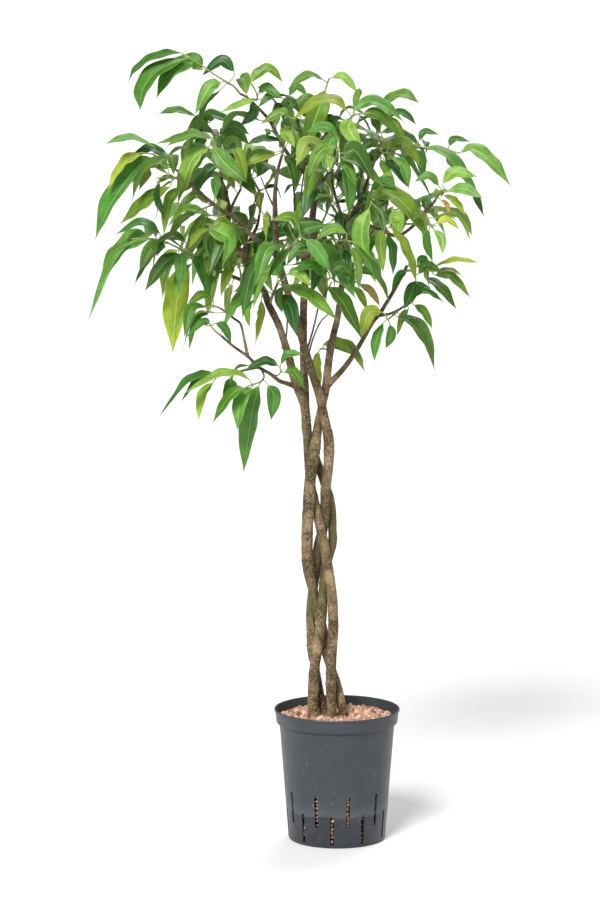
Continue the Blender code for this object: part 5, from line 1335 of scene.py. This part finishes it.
def round_limb(path: Sequence[Vector], radii: Sequence[float], sides: int,
               swell: Optional[Callable[[Vector, Vector, int, float], float]] = None) -> tuple:
    """A limb with a map in centimetres round it and along it.

    Args:
        path: Its centre line.
        radii: Its radius at each point.
        sides: How many faces go round it.
        swell: What to add to the radius at a surface point, given the point, its outward way, the ring and turn.

    Returns:
        Vertices, faces and the map place of each face's corners.
    """
    verts, faces, maps = [], [], []
    across = (path[1] - path[0]).orthogonal().normalized()
    runs = [0.0]
    for a, b in zip(path, path[1:]):
        runs.append(runs[-1] + (b - a).length)
    for i, point in enumerate(path):
        along = (path[min(i + 1, len(path) - 1)] - path[max(i - 1, 0)]).normalized()
        across = (across - along * across.dot(along)).normalized()
        other = along.cross(across)
        for k in range(sides):
            turn = 2 * math.pi * k / sides
            out = across * math.cos(turn) + other * math.sin(turn)
            r = radii[i] + (swell(point + out * radii[i], out, i, turn) if swell else 0.0)
            verts.append(point + out * r)
    girth = 2 * math.pi * max(radii) / 10
    for i in range(len(path) - 1):
        for k in range(sides):
            n = (k + 1) % sides
            faces.append((i * sides + k, i * sides + n, (i + 1) * sides + n, (i + 1) * sides + k))
            left, right = girth * k / sides, girth * (k + 1) / sides
            low, high = runs[i] / 10, runs[i + 1] / 10
            maps.append(((left, low), (right, low), (right, high), (left, high)))
    for ring, flip in ((0, True), (len(path) - 1, False)):
        centre = len(verts)
        verts.append(path[ring])
        for k in range(sides):
            a, b = ring * sides + k, ring * sides + (k + 1) % sides
            faces.append((b, a, centre) if flip else (a, b, centre))
            maps.append(((0, 0), (0.1, 0), (0.05, 0.1)))
    return verts, faces, maps


@dataclass
class Blade:
    """The true form of a ficus leaf: a long drip tip, waved margins, a fold at a sunken midrib."""

    steps: int = 22
    columns: tuple[float, ...] = (-1.0, -0.76, -0.46, -0.17, -0.035, 0.035, 0.17, 0.46, 0.76, 1.0)
    outline: tuple[tuple[float, float], ...] = (
        (0.0, 0.05), (0.04, 0.20), (0.10, 0.43), (0.20, 0.72), (0.30, 0.90), (0.40, 0.985), (0.49, 1.0),
        (0.60, 0.965), (0.70, 0.85), (0.78, 0.68), (0.85, 0.46), (0.91, 0.25), (0.96, 0.10), (1.0, 0.012))
    thick: float = 0.42
    fold: float = 0.30
    droop: float = 0.10
    wave: float = 0.085
    groove: float = 0.30
    keel: float = 0.55

    def mesh(self, leaf: Leaf, seed: float) -> tuple:
        """Shapes one blade.

        Args:
            leaf: Its place in the frame.
            seed: Its own number, from 0 to 1.

        Returns:
            Vertices, faces, the corners' map places and the underside mark of each vertex.
        """
        draw = random.Random(seed)
        line = smooth_path(leaf.points, self.steps)
        fold = self.fold * draw.uniform(0.75, 1.3)
        waves = [(draw.uniform(2.2, 3.6), draw.uniform(0, 6.28), draw.uniform(0.5, 1.25)) for _ in range(2)]
        lean = draw.uniform(-0.06, 0.06)
        width = len(self.columns)
        verts, faces, maps, under = [], [], [], []
        sheets: list[list[int]] = [[], []]
        for i, place in enumerate(line):
            t = i / self.steps
            ahead = (line[min(i + 1, self.steps)] - line[max(i - 1, 0)]).normalized()
            side = ahead.cross(leaf.face).normalized()
            up = side.cross(ahead).normalized()
            half = leaf.width / 2 * between(self.outline, t)
            for k, u in enumerate(self.columns):
                count, phase, amount = waves[u > 0]
                edge = abs(u)
                ripple = self.wave * amount * half * math.sin(count * 6.28 * t + phase) * edge ** 1.6
                lift = half * (fold * edge - self.droop * edge * edge) + ripple
                spot = place + side * (half * (u + lean * (1 - edge))) + up * lift
                rim = self.thick / 2 * (1.0 if edge < 0.9 else 0.25)
                top = rim - (self.groove * (1 - 0.7 * t) if edge < 0.1 else 0.0)
                low = -rim - (self.keel * (1 - 0.8 * t) if edge < 0.1 else 0.0)
                for sheet, height, mark in ((0, top, 0.0), (1, low, 1.0)):
                    sheets[sheet].append(len(verts))
                    verts.append(spot + up * height)
                    under.append(mark)
        spread = [(u + 1) / 2 for u in self.columns]
        for i in range(self.steps):
            low_v, high_v = i / self.steps, (i + 1) / self.steps
            for k in range(width - 1):
                a, b = i * width + k, i * width + k + 1
                square = ((spread[k], low_v), (spread[k + 1], low_v), (spread[k + 1], high_v), (spread[k], high_v))
                faces.append(tuple(sheets[0][n] for n in (a, b, b + width, a + width)))
                maps.append(square)
                faces.append(tuple(sheets[1][n] for n in (b, a, a + width, b + width)))
                maps.append((square[1], square[0], square[3], square[2]))
            for k, turn in ((0, True), (width - 1, False)):
                a, b = i * width + k, (i + 1) * width + k
                ring = (sheets[0][a], sheets[0][b], sheets[1][b], sheets[1][a])
                faces.append(ring if turn else ring[::-1])
                maps.append(((spread[k], low_v), (spread[k], high_v), (spread[k], high_v), (spread[k], low_v)))
        for end, turn in ((0, False), (self.steps, True)):
            for k in range(width - 1):
                a, b = end * width + k, end * width + k + 1
                ring = (sheets[0][a], sheets[0][b], sheets[1][b], sheets[1][a])
                faces.append(ring[::-1] if not turn else ring)
                maps.append(((0.5, 0.0),) * 4)
        return verts, faces, maps, under


@dataclass
class Foliage:
    """The sprays: twigs with their joints and buds, petioles, and blades in their tones."""

    effects: Effects
    blade: Blade = field(default_factory=Blade)
    twig_sides: int = 8
    petiole_sides: int = 6
    petiole_r: tuple[float, float] = (0.95, 0.72)
    bud: float = 9.0

    def finishes(self) -> dict[str, bpy.types.Material]:
        """The leaf finish of each tone."""
        looks = {
            # The dark tone is partly the leaf's own deeper green and partly painted shade
            Tone.DARK: BladeFinish("leaf_dark", (0.024, 0.088, 0.007), (0.13, 0.22, 0.04), (0.20, 0.34, 0.07), 0.32),
            Tone.GREEN: BladeFinish("leaf_green", (0.062, 0.178, 0.010), (0.17, 0.28, 0.05), (0.30, 0.46, 0.10), 0.34),
            # The light tone is partly the leaf's own paler green and partly painted sheen
            Tone.LIGHT: BladeFinish("leaf_light", (0.125, 0.290, 0.030), (0.25, 0.38, 0.08), (0.44, 0.60, 0.19), 0.36),
            Tone.OLIVE: BladeFinish("leaf_olive", (0.130, 0.225, 0.012), (0.22, 0.30, 0.05), (0.38, 0.46, 0.11), 0.42),
            # The lime tone is partly the leaf's own yellow-green and partly painted light shining through it
            Tone.LIME: BladeFinish("leaf_lime_and_backlit", (0.240, 0.370, 0.022), (0.32, 0.44, 0.06), (0.52, 0.62, 0.17), 0.42),
            Tone.YOUNG: BladeFinish("leaf_young", (0.420, 0.270, 0.070), (0.46, 0.33, 0.11), (0.60, 0.48, 0.20), 0.42),
        }
        return {tone.value: finish.material(self.effects) for tone, finish in looks.items()}

    def petiole(self, leaf: Leaf) -> tuple:
        """A slim stalk that leaves the twig and bends into the blade's midrib."""
        line = smooth_path(leaf.points, 20)
        end = line[0] + (line[1] - line[0]) * 0.8
        way = (line[1] - line[0]).normalized()
        reach = (end - leaf.root).length
        start = leaf.root
        bend = end - way * reach * 0.45
        path = []
        for i in range(9):
            t = i / 8
            path.append(start * (1 - t) ** 2 + bend * (2 * t * (1 - t)) + end * t * t)
        return round_limb(path, taper(*self.petiole_r, 9), self.petiole_sides)

    def build(self, layout: Layout) -> list[bpy.types.Object]:
        """Builds a piece for each spray, and one for the inner leaves of each stem's branches.

        Args:
            layout: Where everything lies.

        Returns:
            The pieces.
        """
        tones = self.finishes()
        stalk = StalkFinish().material(self.effects)
        inner = layout.lay_inner()
        pieces = []
        for name, line in layout.twigs.items():
            draw = random.Random(name)
            gather = Gather()
            used = [stalk]
            path = smooth_path(line, max(8, 6 * (len(line) - 1)))
            leaves = layout.leaves[name]
            radii = [r for r in taper(TWIG_R[0], TWIG_R[1] * 0.9, len(path))]
            for leaf in leaves:
                near = min(range(len(path)), key=lambda i: (path[i] - leaf.root).length)
                radii[near] += 0.32
            verts, faces, maps = round_limb(path, radii, self.twig_sides)
            age = [0.85 - 0.75 * (i // self.twig_sides) / len(path) for i in range(len(verts))]
            gather.add(verts, faces, 0, maps, age=age, leaf_number=0.5, underside=0.0)
            self.add_bud(gather, path)
            for leaf in leaves:
                self.add_leaf(gather, leaf, tones, used, draw)
            piece = gather.piece("leafy_" + name[len("spray_"):], used)
            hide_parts(name)
            pieces.append(piece)
        for stem, leaves in inner.items():
            draw = random.Random(stem)
            gather = Gather()
            used = [stalk]
            for leaf in leaves:
                self.add_leaf(gather, leaf, tones, used, draw)
            pieces.append(gather.piece("inner_leaves_" + stem[-1], used))
        return pieces

    def add_leaf(self, gather: Gather, leaf: Leaf, tones: dict[str, bpy.types.Material],
                 used: list[bpy.types.Material], draw: random.Random) -> None:
        """Adds one leaf with its stalk.

        Args:
            gather: Where it goes.
            leaf: Its place.
            tones: The finish of each tone.
            used: The piece's finishes, which grow as they are needed.
            draw: The source of its number.
        """
        number = draw.random()
        gather.add(*self.petiole(leaf)[:2], 0, None, age=draw.uniform(0.0, 0.25))
        if tones[leaf.tone] not in used:
            used.append(tones[leaf.tone])
        verts, faces, maps, under = self.blade.mesh(leaf, number)
        gather.add(verts, faces, used.index(tones[leaf.tone]), maps, leaf_number=number, underside=under)

    def add_bud(self, gather: Gather, path: Sequence[Vector]) -> None:
        """Adds the slim pointed bud that ends a twig."""
        way = (path[-1] - path[-2]).normalized()
        spots = [path[-1] + way * (self.bud * share - 0.5) for share in (0.0, 0.2, 0.5, 0.8, 1.0)]
        verts, faces, maps = round_limb(spots, [0.9, 1.15, 0.85, 0.4, 0.05], 6)
        gather.add(verts, faces, 0, maps, age=0.0)


@dataclass
class Wood:
    """The braided strands and their branches, with knots, ring scars, and crevices given moss and painted shade."""

    effects: Effects
    sides: int = 24
    branch_sides: int = 10
    per_row: int = 7
    knots: tuple[tuple[float, float, float], ...] = (
        (-46, 490, 5.0), (-43, 438, 4.2), (-52, 403, 4.6), (-12, 222, 4.6), (-42, 390, 6.0), (-36, 250, 2.6),
        (-8, 262, 3.0), (-15, 520, 3.4), (-58, 655, 4.2), (-40, 612, 3.2), (-24, 640, 3.0), (-50, 700, 2.8))
    # Mossy places: (x, z) of the middle, how far each reaches up and down, and its strength
    mossy: tuple[tuple[float, float, float, float], ...] = (
        (-6, 455, 34, 1.0), (-20, 362, 16, 1.0), (-38, 338, 26, 0.8), (-27, 415, 26, 0.9), (-24, 520, 30, 0.7),
        (-2, 256, 10, 0.8), (-40, 550, 40, 0.5), (-60, 690, 50, 0.5))
    bare_twigs: dict[str, tuple] = field(default_factory=lambda: {
        "bare_a_outer": ("stem_a", 1.9, 1.0, ((-45, 815, 8), (-54, 850, 20), (-60, 890, 28), (-61, 925, 33),
                         (-64, 958, 36), (-58, 984, 38))),
        "bare_a_inner": ("stem_a", 1.7, 0.9, ((-43, 840, 10), (-52, 872, 2), (-53, 905, -6), (-50, 938, -12),
                         (-46, 966, -16))),
        "bare_d_rising": ("stem_d", 1.6, 0.9, ((9, 876, -8), (16, 902, -18), (23, 928, -26), (34, 950, -30))),
        "bare_c_rising": ("stem_c", 1.6, 0.9, ((-134, 841, 13), (-128, 870, 2), (-121, 902, -7), (-111, 932, -14))),
        "bare_b_tip": ("stem_b", 1.4, 0.8, ((-88, 905, -33), (-98, 926, -26), (-108, 950, -20))),
        "bare_fork_left": ("stem_a", 1.7, 0.9, ((-46, 700, 6), (-40, 716, 2), (-33, 741, -2), (-26, 770, -4),
                           (-15, 790, -6), (-8, 803, -8))),
        "bare_fork_right": ("stem_a", 1.5, 0.9, ((-47, 690, 6), (-40, 704, 10), (-34, 724, 12), (-24, 746, 12),
                            (-13, 757, 11))),
        "bare_fork_back": ("stem_c", 1.5, 0.8, ((-78, 708, -4), (-73, 722, -1), (-71, 750, 2), (-73, 776, 4),
                           (-62, 796, 6)))})

    def knot_spots(self) -> list[tuple[Vector, float]]:
        """The knots' middles on the near side of the trunk."""
        return [(placed(x, z, -12), size) for x, z, size in self.knots]

    def build(self, layout: Layout) -> list[bpy.types.Object]:
        """Builds a piece for each strand with its branches.

        Args:
            layout: Where everything lies.

        Returns:
            The pieces.
        """
        bark = BarkFinish().material(self.effects)
        knots = self.knot_spots()
        pieces = []
        for name, rows in layout.stems.items():
            others = [tree for key in layout.stems if key != name for tree in layout.trees[key][:1]]
            gather = Gather()
            path = smooth_path(layout.paths[name], self.per_row * (len(rows) - 1))
            radii = [v.x for v in smooth_path([Vector((row[3], 0, 0)) for row in rows], len(path) - 1)]
            self.add_limb(gather, path, radii, self.sides, knots, others, 0.0, name)
            for branch, (stem, first, last, points) in {**BRANCHES, **self.bare_twigs}.items():
                if stem != name:
                    continue
                way = smooth_path([placed(*point) for point in points], 6 * (len(points) - 1))
                widths = taper(first, last, len(way))
                widths = [r * (1 + 0.4 * math.exp(-i / 3)) for i, r in enumerate(widths)]
                self.add_limb(gather, way, widths, self.branch_sides, [], [], 0.5, branch)
            piece = gather.piece("bark_" + name[-1], [bark])
            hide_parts(name)
            pieces.append(piece)
        return pieces

    def add_limb(self, gather: Gather, path: list[Vector], radii: list[float], sides: int,
                 knots: list[tuple[Vector, float]], others: list[BVHTree], age: float, name: str) -> None:
        """Adds one limb with its swellings and marks.

        Args:
            gather: Where the limb goes.
            path: Its centre line.
            radii: Its radius along the line.
            sides: How many faces go round it.
            knots: Knot middles and sizes.
            others: The other strands; nearness to them sets the damp mark, which lays moss and painted shade in the
                crevices.
            age: The mark of its foot, from 0 for old bark to 1 for young.
            name: Its name, which seeds its ring scars.
        """
        draw = random.Random(name)
        rings, run = [], draw.uniform(6, 20)
        whole = sum((b - a).length for a, b in zip(path, path[1:]))
        while run < whole:
            rings.append(run)
            run += draw.uniform(16, 42) * (0.6 if age > 0 else 1.0)
        lengths = [0.0]
        for a, b in zip(path, path[1:]):
            lengths.append(lengths[-1] + (b - a).length)
        scars: list[float] = []

        def swell(spot: Vector, out: Vector, i: int, turn: float) -> float:
            """The bark's relief at a spot, in millimetres."""
            r = radii[i]
            flute = noise.noise(Vector((math.cos(turn) * 1.3, math.sin(turn) * 1.3, lengths[i] * 0.02)) + spot * 0.004)
            grit = noise.noise(spot * 0.30)
            rise = r * (0.10 * flute + 0.055 * grit) - r * 0.03
            for ring in rings:
                gap = (lengths[i] - ring) / 1.7
                if abs(gap) < 3:
                    rise += 0.055 * r * math.exp(-gap * gap)
            scar = 0.0
            for middle, size in knots:
                flat = math.hypot(spot.x - middle.x, spot.z - middle.z)
                if flat < size * 2.2 and out.y < -0.1:
                    rise += 0.36 * size * math.exp(-(flat / (size * 0.85)) ** 2)
                    rise -= 0.62 * size * math.exp(-(flat / (size * 0.36)) ** 2)
                    scar = max(scar, math.exp(-(flat / (size * 0.42)) ** 2))
            scars.append(scar)
            return rise

        verts, faces, maps = round_limb(path, radii, sides, swell)
        scars += [0.0] * (len(verts) - len(scars))
        last = len(path) - 1
        # The damp mark rises as a vertex nears another strand, between z 190 and 700; the bark paints moss and crevice
        # shade with it
        damp = []
        for i, vert in enumerate(verts):
            near = min((tree.find_nearest(vert)[3] or 99.0 for tree in others), default=99.0)
            damp.append(max(0.0, 1.0 - near / 6.5) if 190 < vert.z < 700 else 0.0)
        moss = [self.moss_at(vert) for vert in verts]
        ages = []
        for i in range(len(verts)):
            share = min(1.0, (i // sides) / last)
            height = max(0.0, min(1.0, (verts[i].z - 560) / 380))
            ages.append(max(age + share * (1 - age) * 0.4 if age else 0.0, height))
        gather.add(verts, faces, 0, maps, damp=damp, scar=scars, age=ages, moss=moss)

    def moss_at(self, spot: Vector) -> float:
        """How mossy a spot is, from 0 to 1."""
        most = 0.0
        for x, z, reach, strength in self.mossy:
            gap = math.hypot((spot.x - x) / 9.0, (spot.z - z) / reach)
            most = max(most, strength * math.exp(-gap * gap))
        return most


@dataclass
class GranuleBed:
    """Clay granules: single pebbles on top and behind the slots, over a near-black filling that is painted shade
    between them.
    """

    effects: Effects
    top_z: float = 176.0
    reach: float = 84.0
    pitch: float = 7.2
    sizes: tuple[float, float] = (3.0, 4.9)
    rise: tuple[float, float] = (-1.4, 1.8)

    def pebble(self, gather: Gather, ball: Mesh, place: Vector, size: float, draw: random.Random,
               tint: float) -> None:
        """Adds one knobbly granule.

        Args:
            gather: Where it goes.
            ball: A round net of unit radius.
            place: Its middle.
            size: Its radius.
            draw: The source of its shape.
            tint: Its colour mark.
        """
        turn = Matrix.Rotation(draw.uniform(0, 6.28), 3, Vector((draw.random(), draw.random(), draw.random() + 0.01)))
        stretch = Vector((draw.uniform(0.8, 1.2), draw.uniform(0.75, 1.1), draw.uniform(0.65, 0.95)))
        shift = Vector((draw.uniform(0, 90), draw.uniform(0, 90), draw.uniform(0, 90)))
        verts = []
        for v in ball[0]:
            lump = 1 + 0.34 * noise.noise(v * 1.3 + shift) + 0.14 * noise.noise(v * 3.1 + shift)
            verts.append(place + turn @ Vector((v.x * stretch.x, v.y * stretch.y, v.z * stretch.z)) * (size * lump))
        gather.add(verts, ball[1], 0, None, tint=tint)

    def ball(self) -> Mesh:
        """A round net of 162 points and unit radius."""
        work = bmesh.new()
        bmesh.ops.create_icosphere(work, subdivisions=2, radius=1.0)
        work.verts.ensure_lookup_table()
        mesh = ([v.co.copy() for v in work.verts], [tuple(v.index for v in f.verts) for f in work.faces])
        work.free()
        return mesh

    def build(self, layout: Layout, pot: "CulturePot") -> bpy.types.Object:
        """Builds the bed.

        Args:
            layout: Where the stems stand.
            pot: The pot that holds it.

        Returns:
            The piece.
        """
        draw = random.Random(5)
        gather = Gather()
        ball = self.ball()
        feet = []
        for name, rows in layout.stems.items():
            for x, z, y, radius in rows:
                if 170 <= z <= 180:
                    feet.append((placed(x, z, y), radius))
        row_step = self.pitch * 0.866
        rows = int(self.reach / row_step) + 1
        for row in range(-rows, rows + 1):
            for col in range(-rows - 2, rows + 3):
                x = (col + 0.5 * (row % 2)) * self.pitch + draw.uniform(-1.5, 1.5)
                y = row * row_step + draw.uniform(-1.5, 1.5)
                size = draw.uniform(*self.sizes)
                z = self.top_z + draw.uniform(*self.rise)
                tint = min(1.0, max(0.0, draw.gauss(0.58, 0.22)))
                if math.hypot(x, y) > self.reach - size:
                    continue
                if any(math.hypot(x - foot.x, y - foot.y) < radius + size * 0.6 for foot, radius in feet):
                    continue
                self.pebble(gather, ball, Vector((x, y, z)), size, draw, tint)
        for turn, low, high in pot.slot_places():
            out = Vector((math.sin(turn), -math.cos(turn), 0))
            z = low + draw.uniform(0.5, 3)
            while z < high - 1:
                size = draw.uniform(1.9, 2.7)
                place = out * (pot.body_r(z) - pot.wall - size * 0.75) + Vector((0, 0, z + size * 0.6))
                place += out.cross(UPWARD) * draw.uniform(-0.8, 0.8)
                self.pebble(gather, ball, place, size, draw, draw.uniform(0.15, 0.75))
                z += size * draw.uniform(1.9, 3.2)
        self.add_filling(gather, pot)
        clay = ClayFinish().material(self.effects)
        shade = PlainFinish("shade_between_granules", (0.020, 0.011, 0.008), 1.0).material(self.effects)
        piece = gather.piece("granule_bed", [clay, shade])
        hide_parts("clay_granules")
        return piece

    def add_filling(self, gather: Gather, pot: "CulturePot") -> None:
        """Adds the near-black body under the top granules and behind those in the slots: painted shade in the gaps
        between them.
        """
        spots = [(4.0, pot.wall + 0.6), (pot.body_r(6) - pot.wall - 8, pot.wall + 0.6),
                 (pot.body_r(165) - pot.wall - 8, 165), (pot.body_r(168) - pot.wall - 0.8, 169), (80, 173.5), (4.0, 173.5)]
        verts, faces = turned_rings(spots, 48)
        gather.add(verts, faces, 1, None, tint=0.0)


def turned_rings(profile: Sequence[tuple[float, float]], sides: int) -> Mesh:
    """A form turned round the Z axis, closed where its first and last rings are small.

    Args:
        profile: Its (radius, height) points, going outward, up and back inward.
        sides: How many faces go round it.

    Returns:
        Its vertices and faces.
    """
    verts, faces = [], []
    for r, z in profile:
        for k in range(sides):
            turn = 2 * math.pi * k / sides
            verts.append(Vector((r * math.cos(turn), r * math.sin(turn), z)))
    for i in range(len(profile) - 1):
        for k in range(sides):
            n = (k + 1) % sides
            faces.append((i * sides + k, i * sides + n, (i + 1) * sides + n, (i + 1) * sides + k))
    faces.append(tuple(reversed(range(sides))))
    faces.append(tuple(range(len(verts) - sides, len(verts))))
    return verts, faces


@dataclass
class CulturePot:
    """The slotted culture pot: base, tapering body, collar, rolled rim and two rows of slots."""

    effects: Effects
    height: float = 190.0
    rim_r: float = 90.0
    rim_lip: float = 2.6
    collar: float = 20.0
    collar_foot_r: float = 87.0
    body_top_r: float = 82.5
    base_r: float = 69.5
    fillet: float = 3.0
    wall: float = 2.4
    sides: int = 160
    slot: float = 5.0
    per_row: int = 10
    rows: tuple[tuple[float, float, float], ...] = ((12.0, 30.0, 76.0), (-6.0, 5.5, 48.0))

    def body_r(self, z: float) -> float:
        """The body's outer radius at a height."""
        return self.base_r + (self.body_top_r - self.base_r) * z / (self.height - self.collar)

    def slot_places(self) -> list[tuple[float, float, float]]:
        """Each slot's angle from the front, lowest and highest point."""
        places = []
        for first, low, high in self.rows:
            for k in range(self.per_row):
                places.append((math.radians(first + 360 / self.per_row * k), low, high))
        return places

    def profile(self) -> list[tuple[float, float]]:
        """The section of the wall, from the middle of the base out, up and back down inside."""
        step, top = self.height - self.collar, self.height
        foot = self.body_r(self.fillet)
        outer = [(1.0, 0.0), (30.0, 0.0), (self.base_r - self.fillet, 0.0), (self.base_r - 1.5, 0.4),
                 (self.base_r - 0.6, 1.2), (foot, self.fillet)]
        outer += [(self.body_r(z), z) for z in (20, 48, 80, 120, 150)]
        outer += [(self.body_top_r, step - 2.4), (self.body_top_r + 1.2, step - 1.6)]
        outer += [(self.collar_foot_r - 1.0, step - 0.2), (self.collar_foot_r - 0.2, step + 0.5)]
        outer += [(self.collar_foot_r, step + 1.4), (self.rim_r - 1.5, top - 4.2), (self.rim_r - 0.9, top - 3.5)]
        lip = [(self.rim_r - 0.2, top - 2.9), (self.rim_r, top - 2.0), (self.rim_r - 0.15, top - 0.9)]
        lip += [(self.rim_r - 0.6, top - 0.25), (self.rim_r - 1.3, top), (self.rim_r - 2.0, top - 0.25)]
        lip += [(self.rim_r - self.rim_lip, top - 0.9), (self.rim_r - self.rim_lip - 0.3, top - 2.2)]
        inner = [(self.collar_foot_r - self.wall, step + 3), (self.body_top_r - self.wall, step - 2)]
        inner += [(self.body_r(z) - self.wall, z) for z in (120, 80, 48, 20)]
        inner += [(foot - self.wall, self.wall + 1), (foot - self.wall - 1, self.wall), (1.0, self.wall)]
        return outer + lip + inner

    def build(self) -> bpy.types.Object:
        """Builds the pot.

        Returns:
            The piece.
        """
        verts, faces = turned_rings(self.profile(), self.sides)
        gather = Gather()
        gather.add(verts, faces)
        piece = gather.piece("culture_pot", [PotFinish().material(self.effects)], 32.0)
        cutters = Gather()
        for turn, low, high in self.slot_places():
            cutters.add(*self.slot_prism(turn, low, high))
        tool = cutters.piece("slot_prisms", [])
        cut = piece.modifiers.new("Slots", "BOOLEAN")
        cut.operation = "DIFFERENCE"
        cut.solver = "EXACT"
        cut.object = tool
        graph = bpy.context.evaluated_depsgraph_get()
        data = bpy.data.meshes.new_from_object(piece.evaluated_get(graph))
        piece.modifiers.clear()
        piece.data = data
        data.set_sharp_from_angle(angle=math.radians(32))
        bpy.data.objects.remove(tool)
        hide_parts("pot")
        return piece

    def slot_prism(self, turn: float, low: float, high: float) -> Mesh:
        """A slot's cutter: straight sides, a square foot and a round head."""
        out = Vector((math.sin(turn), -math.cos(turn), 0))
        side = Vector((math.cos(turn), math.sin(turn), 0))
        half = self.slot / 2
        outline = [(-half, low), (half, low)]
        for k in range(9):
            angle = math.pi * k / 8
            outline.append((half * math.cos(angle), high - half + half * math.sin(angle)))
        count = len(outline)
        verts = []
        for reach in (self.body_r(low) - self.wall - 4, self.body_r(high) + 4):
            verts += [out * reach + side * x + UPWARD * z for x, z in outline]
        faces = [tuple(reversed(range(count))), tuple(range(count, 2 * count))]
        for k in range(count):
            n = (k + 1) % count
            faces.append((k, n, n + count, k + count))
        return verts, faces


@dataclass
class FineRoots:
    """Thin roots that have found their way out of a few slots."""

    effects: Effects
    sides: int = 6

    def build(self, pot: CulturePot) -> bpy.types.Object:
        """Builds the roots.

        Args:
            pot: The pot whose slots they leave.

        Returns:
            The piece.
        """
        draw = random.Random(3)
        gather = Gather()
        for degrees, low, high in ((-6, 18, 40), (-6, 30, 22), (12, 34, 58), (12, 60, 70), (12, 40, 33), (48, 50, 44),
                                   (12, 52, 38), (-6, 36, 34), (-42, 14, 24)):
            turn = math.radians(degrees)
            out = Vector((math.sin(turn), -math.cos(turn), 0))
            side = Vector((math.cos(turn), math.sin(turn), 0))
            spots = []
            for i in range(7):
                t = i / 6
                z = low + (high - low) * t
                bulge = math.sin(math.pi * min(1.0, t * 1.25)) * draw.uniform(0.6, 2.4)
                sway = draw.uniform(-1.6, 1.6) * (1 if t < 0.8 else 2.0)
                spots.append(out * (pot.body_r(z) - 2.0 + bulge) + side * sway + UPWARD * z)
            path = smooth_path(spots, 24)
            verts, faces, maps = round_limb(path, taper(0.55, 0.22, len(path)), self.sides)
            gather.add(verts, faces, 0, maps)
        skin = PlainFinish("root_skin", (0.36, 0.17, 0.075), 0.8, 0.5, 500.0).material(self.effects)
        return gather.piece("fine_roots", [skin])


@dataclass
class Studio:
    """The plain studio: pale floor, soft lights and the camera at the photo's angle."""

    effects: Effects
    lens: float = 142.3
    tilt: float = 8.045
    # Lamps: place it shines from, power and how wide it is in degrees
    lamps: dict[str, tuple] = field(default_factory=lambda: {
        "front_light": ((-1.2, -2.8, 3.2), 3.5, 22), "back_light": ((0.8, 2.2, 3.4), 1.3, 35)})
    sky: float = 0.36

    def build(self) -> None:
        """Builds the floor, the lights, the sky and the camera."""
        floor = bpy.data.meshes.new("floor")
        reach = 600.0
        floor.from_pydata([(-reach, -reach, 0), (reach, -reach, 0), (reach, reach, 0), (-reach, reach, 0)], [],
                          [(0, 1, 2, 3)])
        ground = bpy.data.objects.new("floor", floor)
        floor.materials.append(PlainFinish("floor_white", (0.90, 0.90, 0.90), 0.9, 0.01, 3.0).material(self.effects))
        bpy.context.scene.collection.objects.link(ground)
        for name, (place, power, width) in self.lamps.items():
            self.lamp(name, place, power, width)
        world = bpy.data.worlds.new("studio")
        world.use_nodes = True
        world.node_tree.nodes["Background"].inputs["Color"].default_value = (1, 1, 1, 1)
        world.node_tree.nodes["Background"].inputs["Strength"].default_value = self.sky
        bpy.context.scene.world = world
        data = bpy.data.cameras.new("camera")
        data.lens = self.lens
        data.sensor_width = 36.0
        data.clip_end = 2000.0
        camera = bpy.data.objects.new("camera", data)
        camera.location = EYE * MM
        camera.rotation_euler = (math.radians(90 - self.tilt), 0, 0)
        bpy.context.scene.collection.objects.link(camera)
        bpy.context.scene.camera = camera
        bpy.context.scene.view_settings.view_transform = "Standard"

    def lamp(self, name: str, place: tuple[float, float, float], power: float, width: float) -> None:
        """Adds one soft far lamp that shines from a place towards the plant."""
        data = bpy.data.lights.new(name, "SUN")
        data.angle = math.radians(width)
        data.energy = power
        lamp = bpy.data.objects.new(name, data)
        lamp.location = place
        lamp.rotation_euler = (Vector(place) - Vector((-0.05, 0, 0.65))).to_track_quat("Z", "Y").to_euler()
        bpy.context.scene.collection.objects.link(lamp)


def main() -> None:
    """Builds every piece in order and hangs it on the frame."""
    logging.basicConfig(level=logging.INFO, format="%(name)s %(message)s")
    effects = Effects()
    Studio(effects).build()
    layout = Layout()
    pot = CulturePot(effects)
    pieces = [pot.build(), GranuleBed(effects).build(layout, pot), FineRoots(effects).build(pot)]
    pieces += Wood(effects).build(layout)
    pieces += Foliage(effects).build(layout)
    for piece in pieces:
        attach(piece, "root")
        LOG.info("%s: %d faces", piece.name, len(piece.data.polygons))


if __name__ == "__main__":
    main()
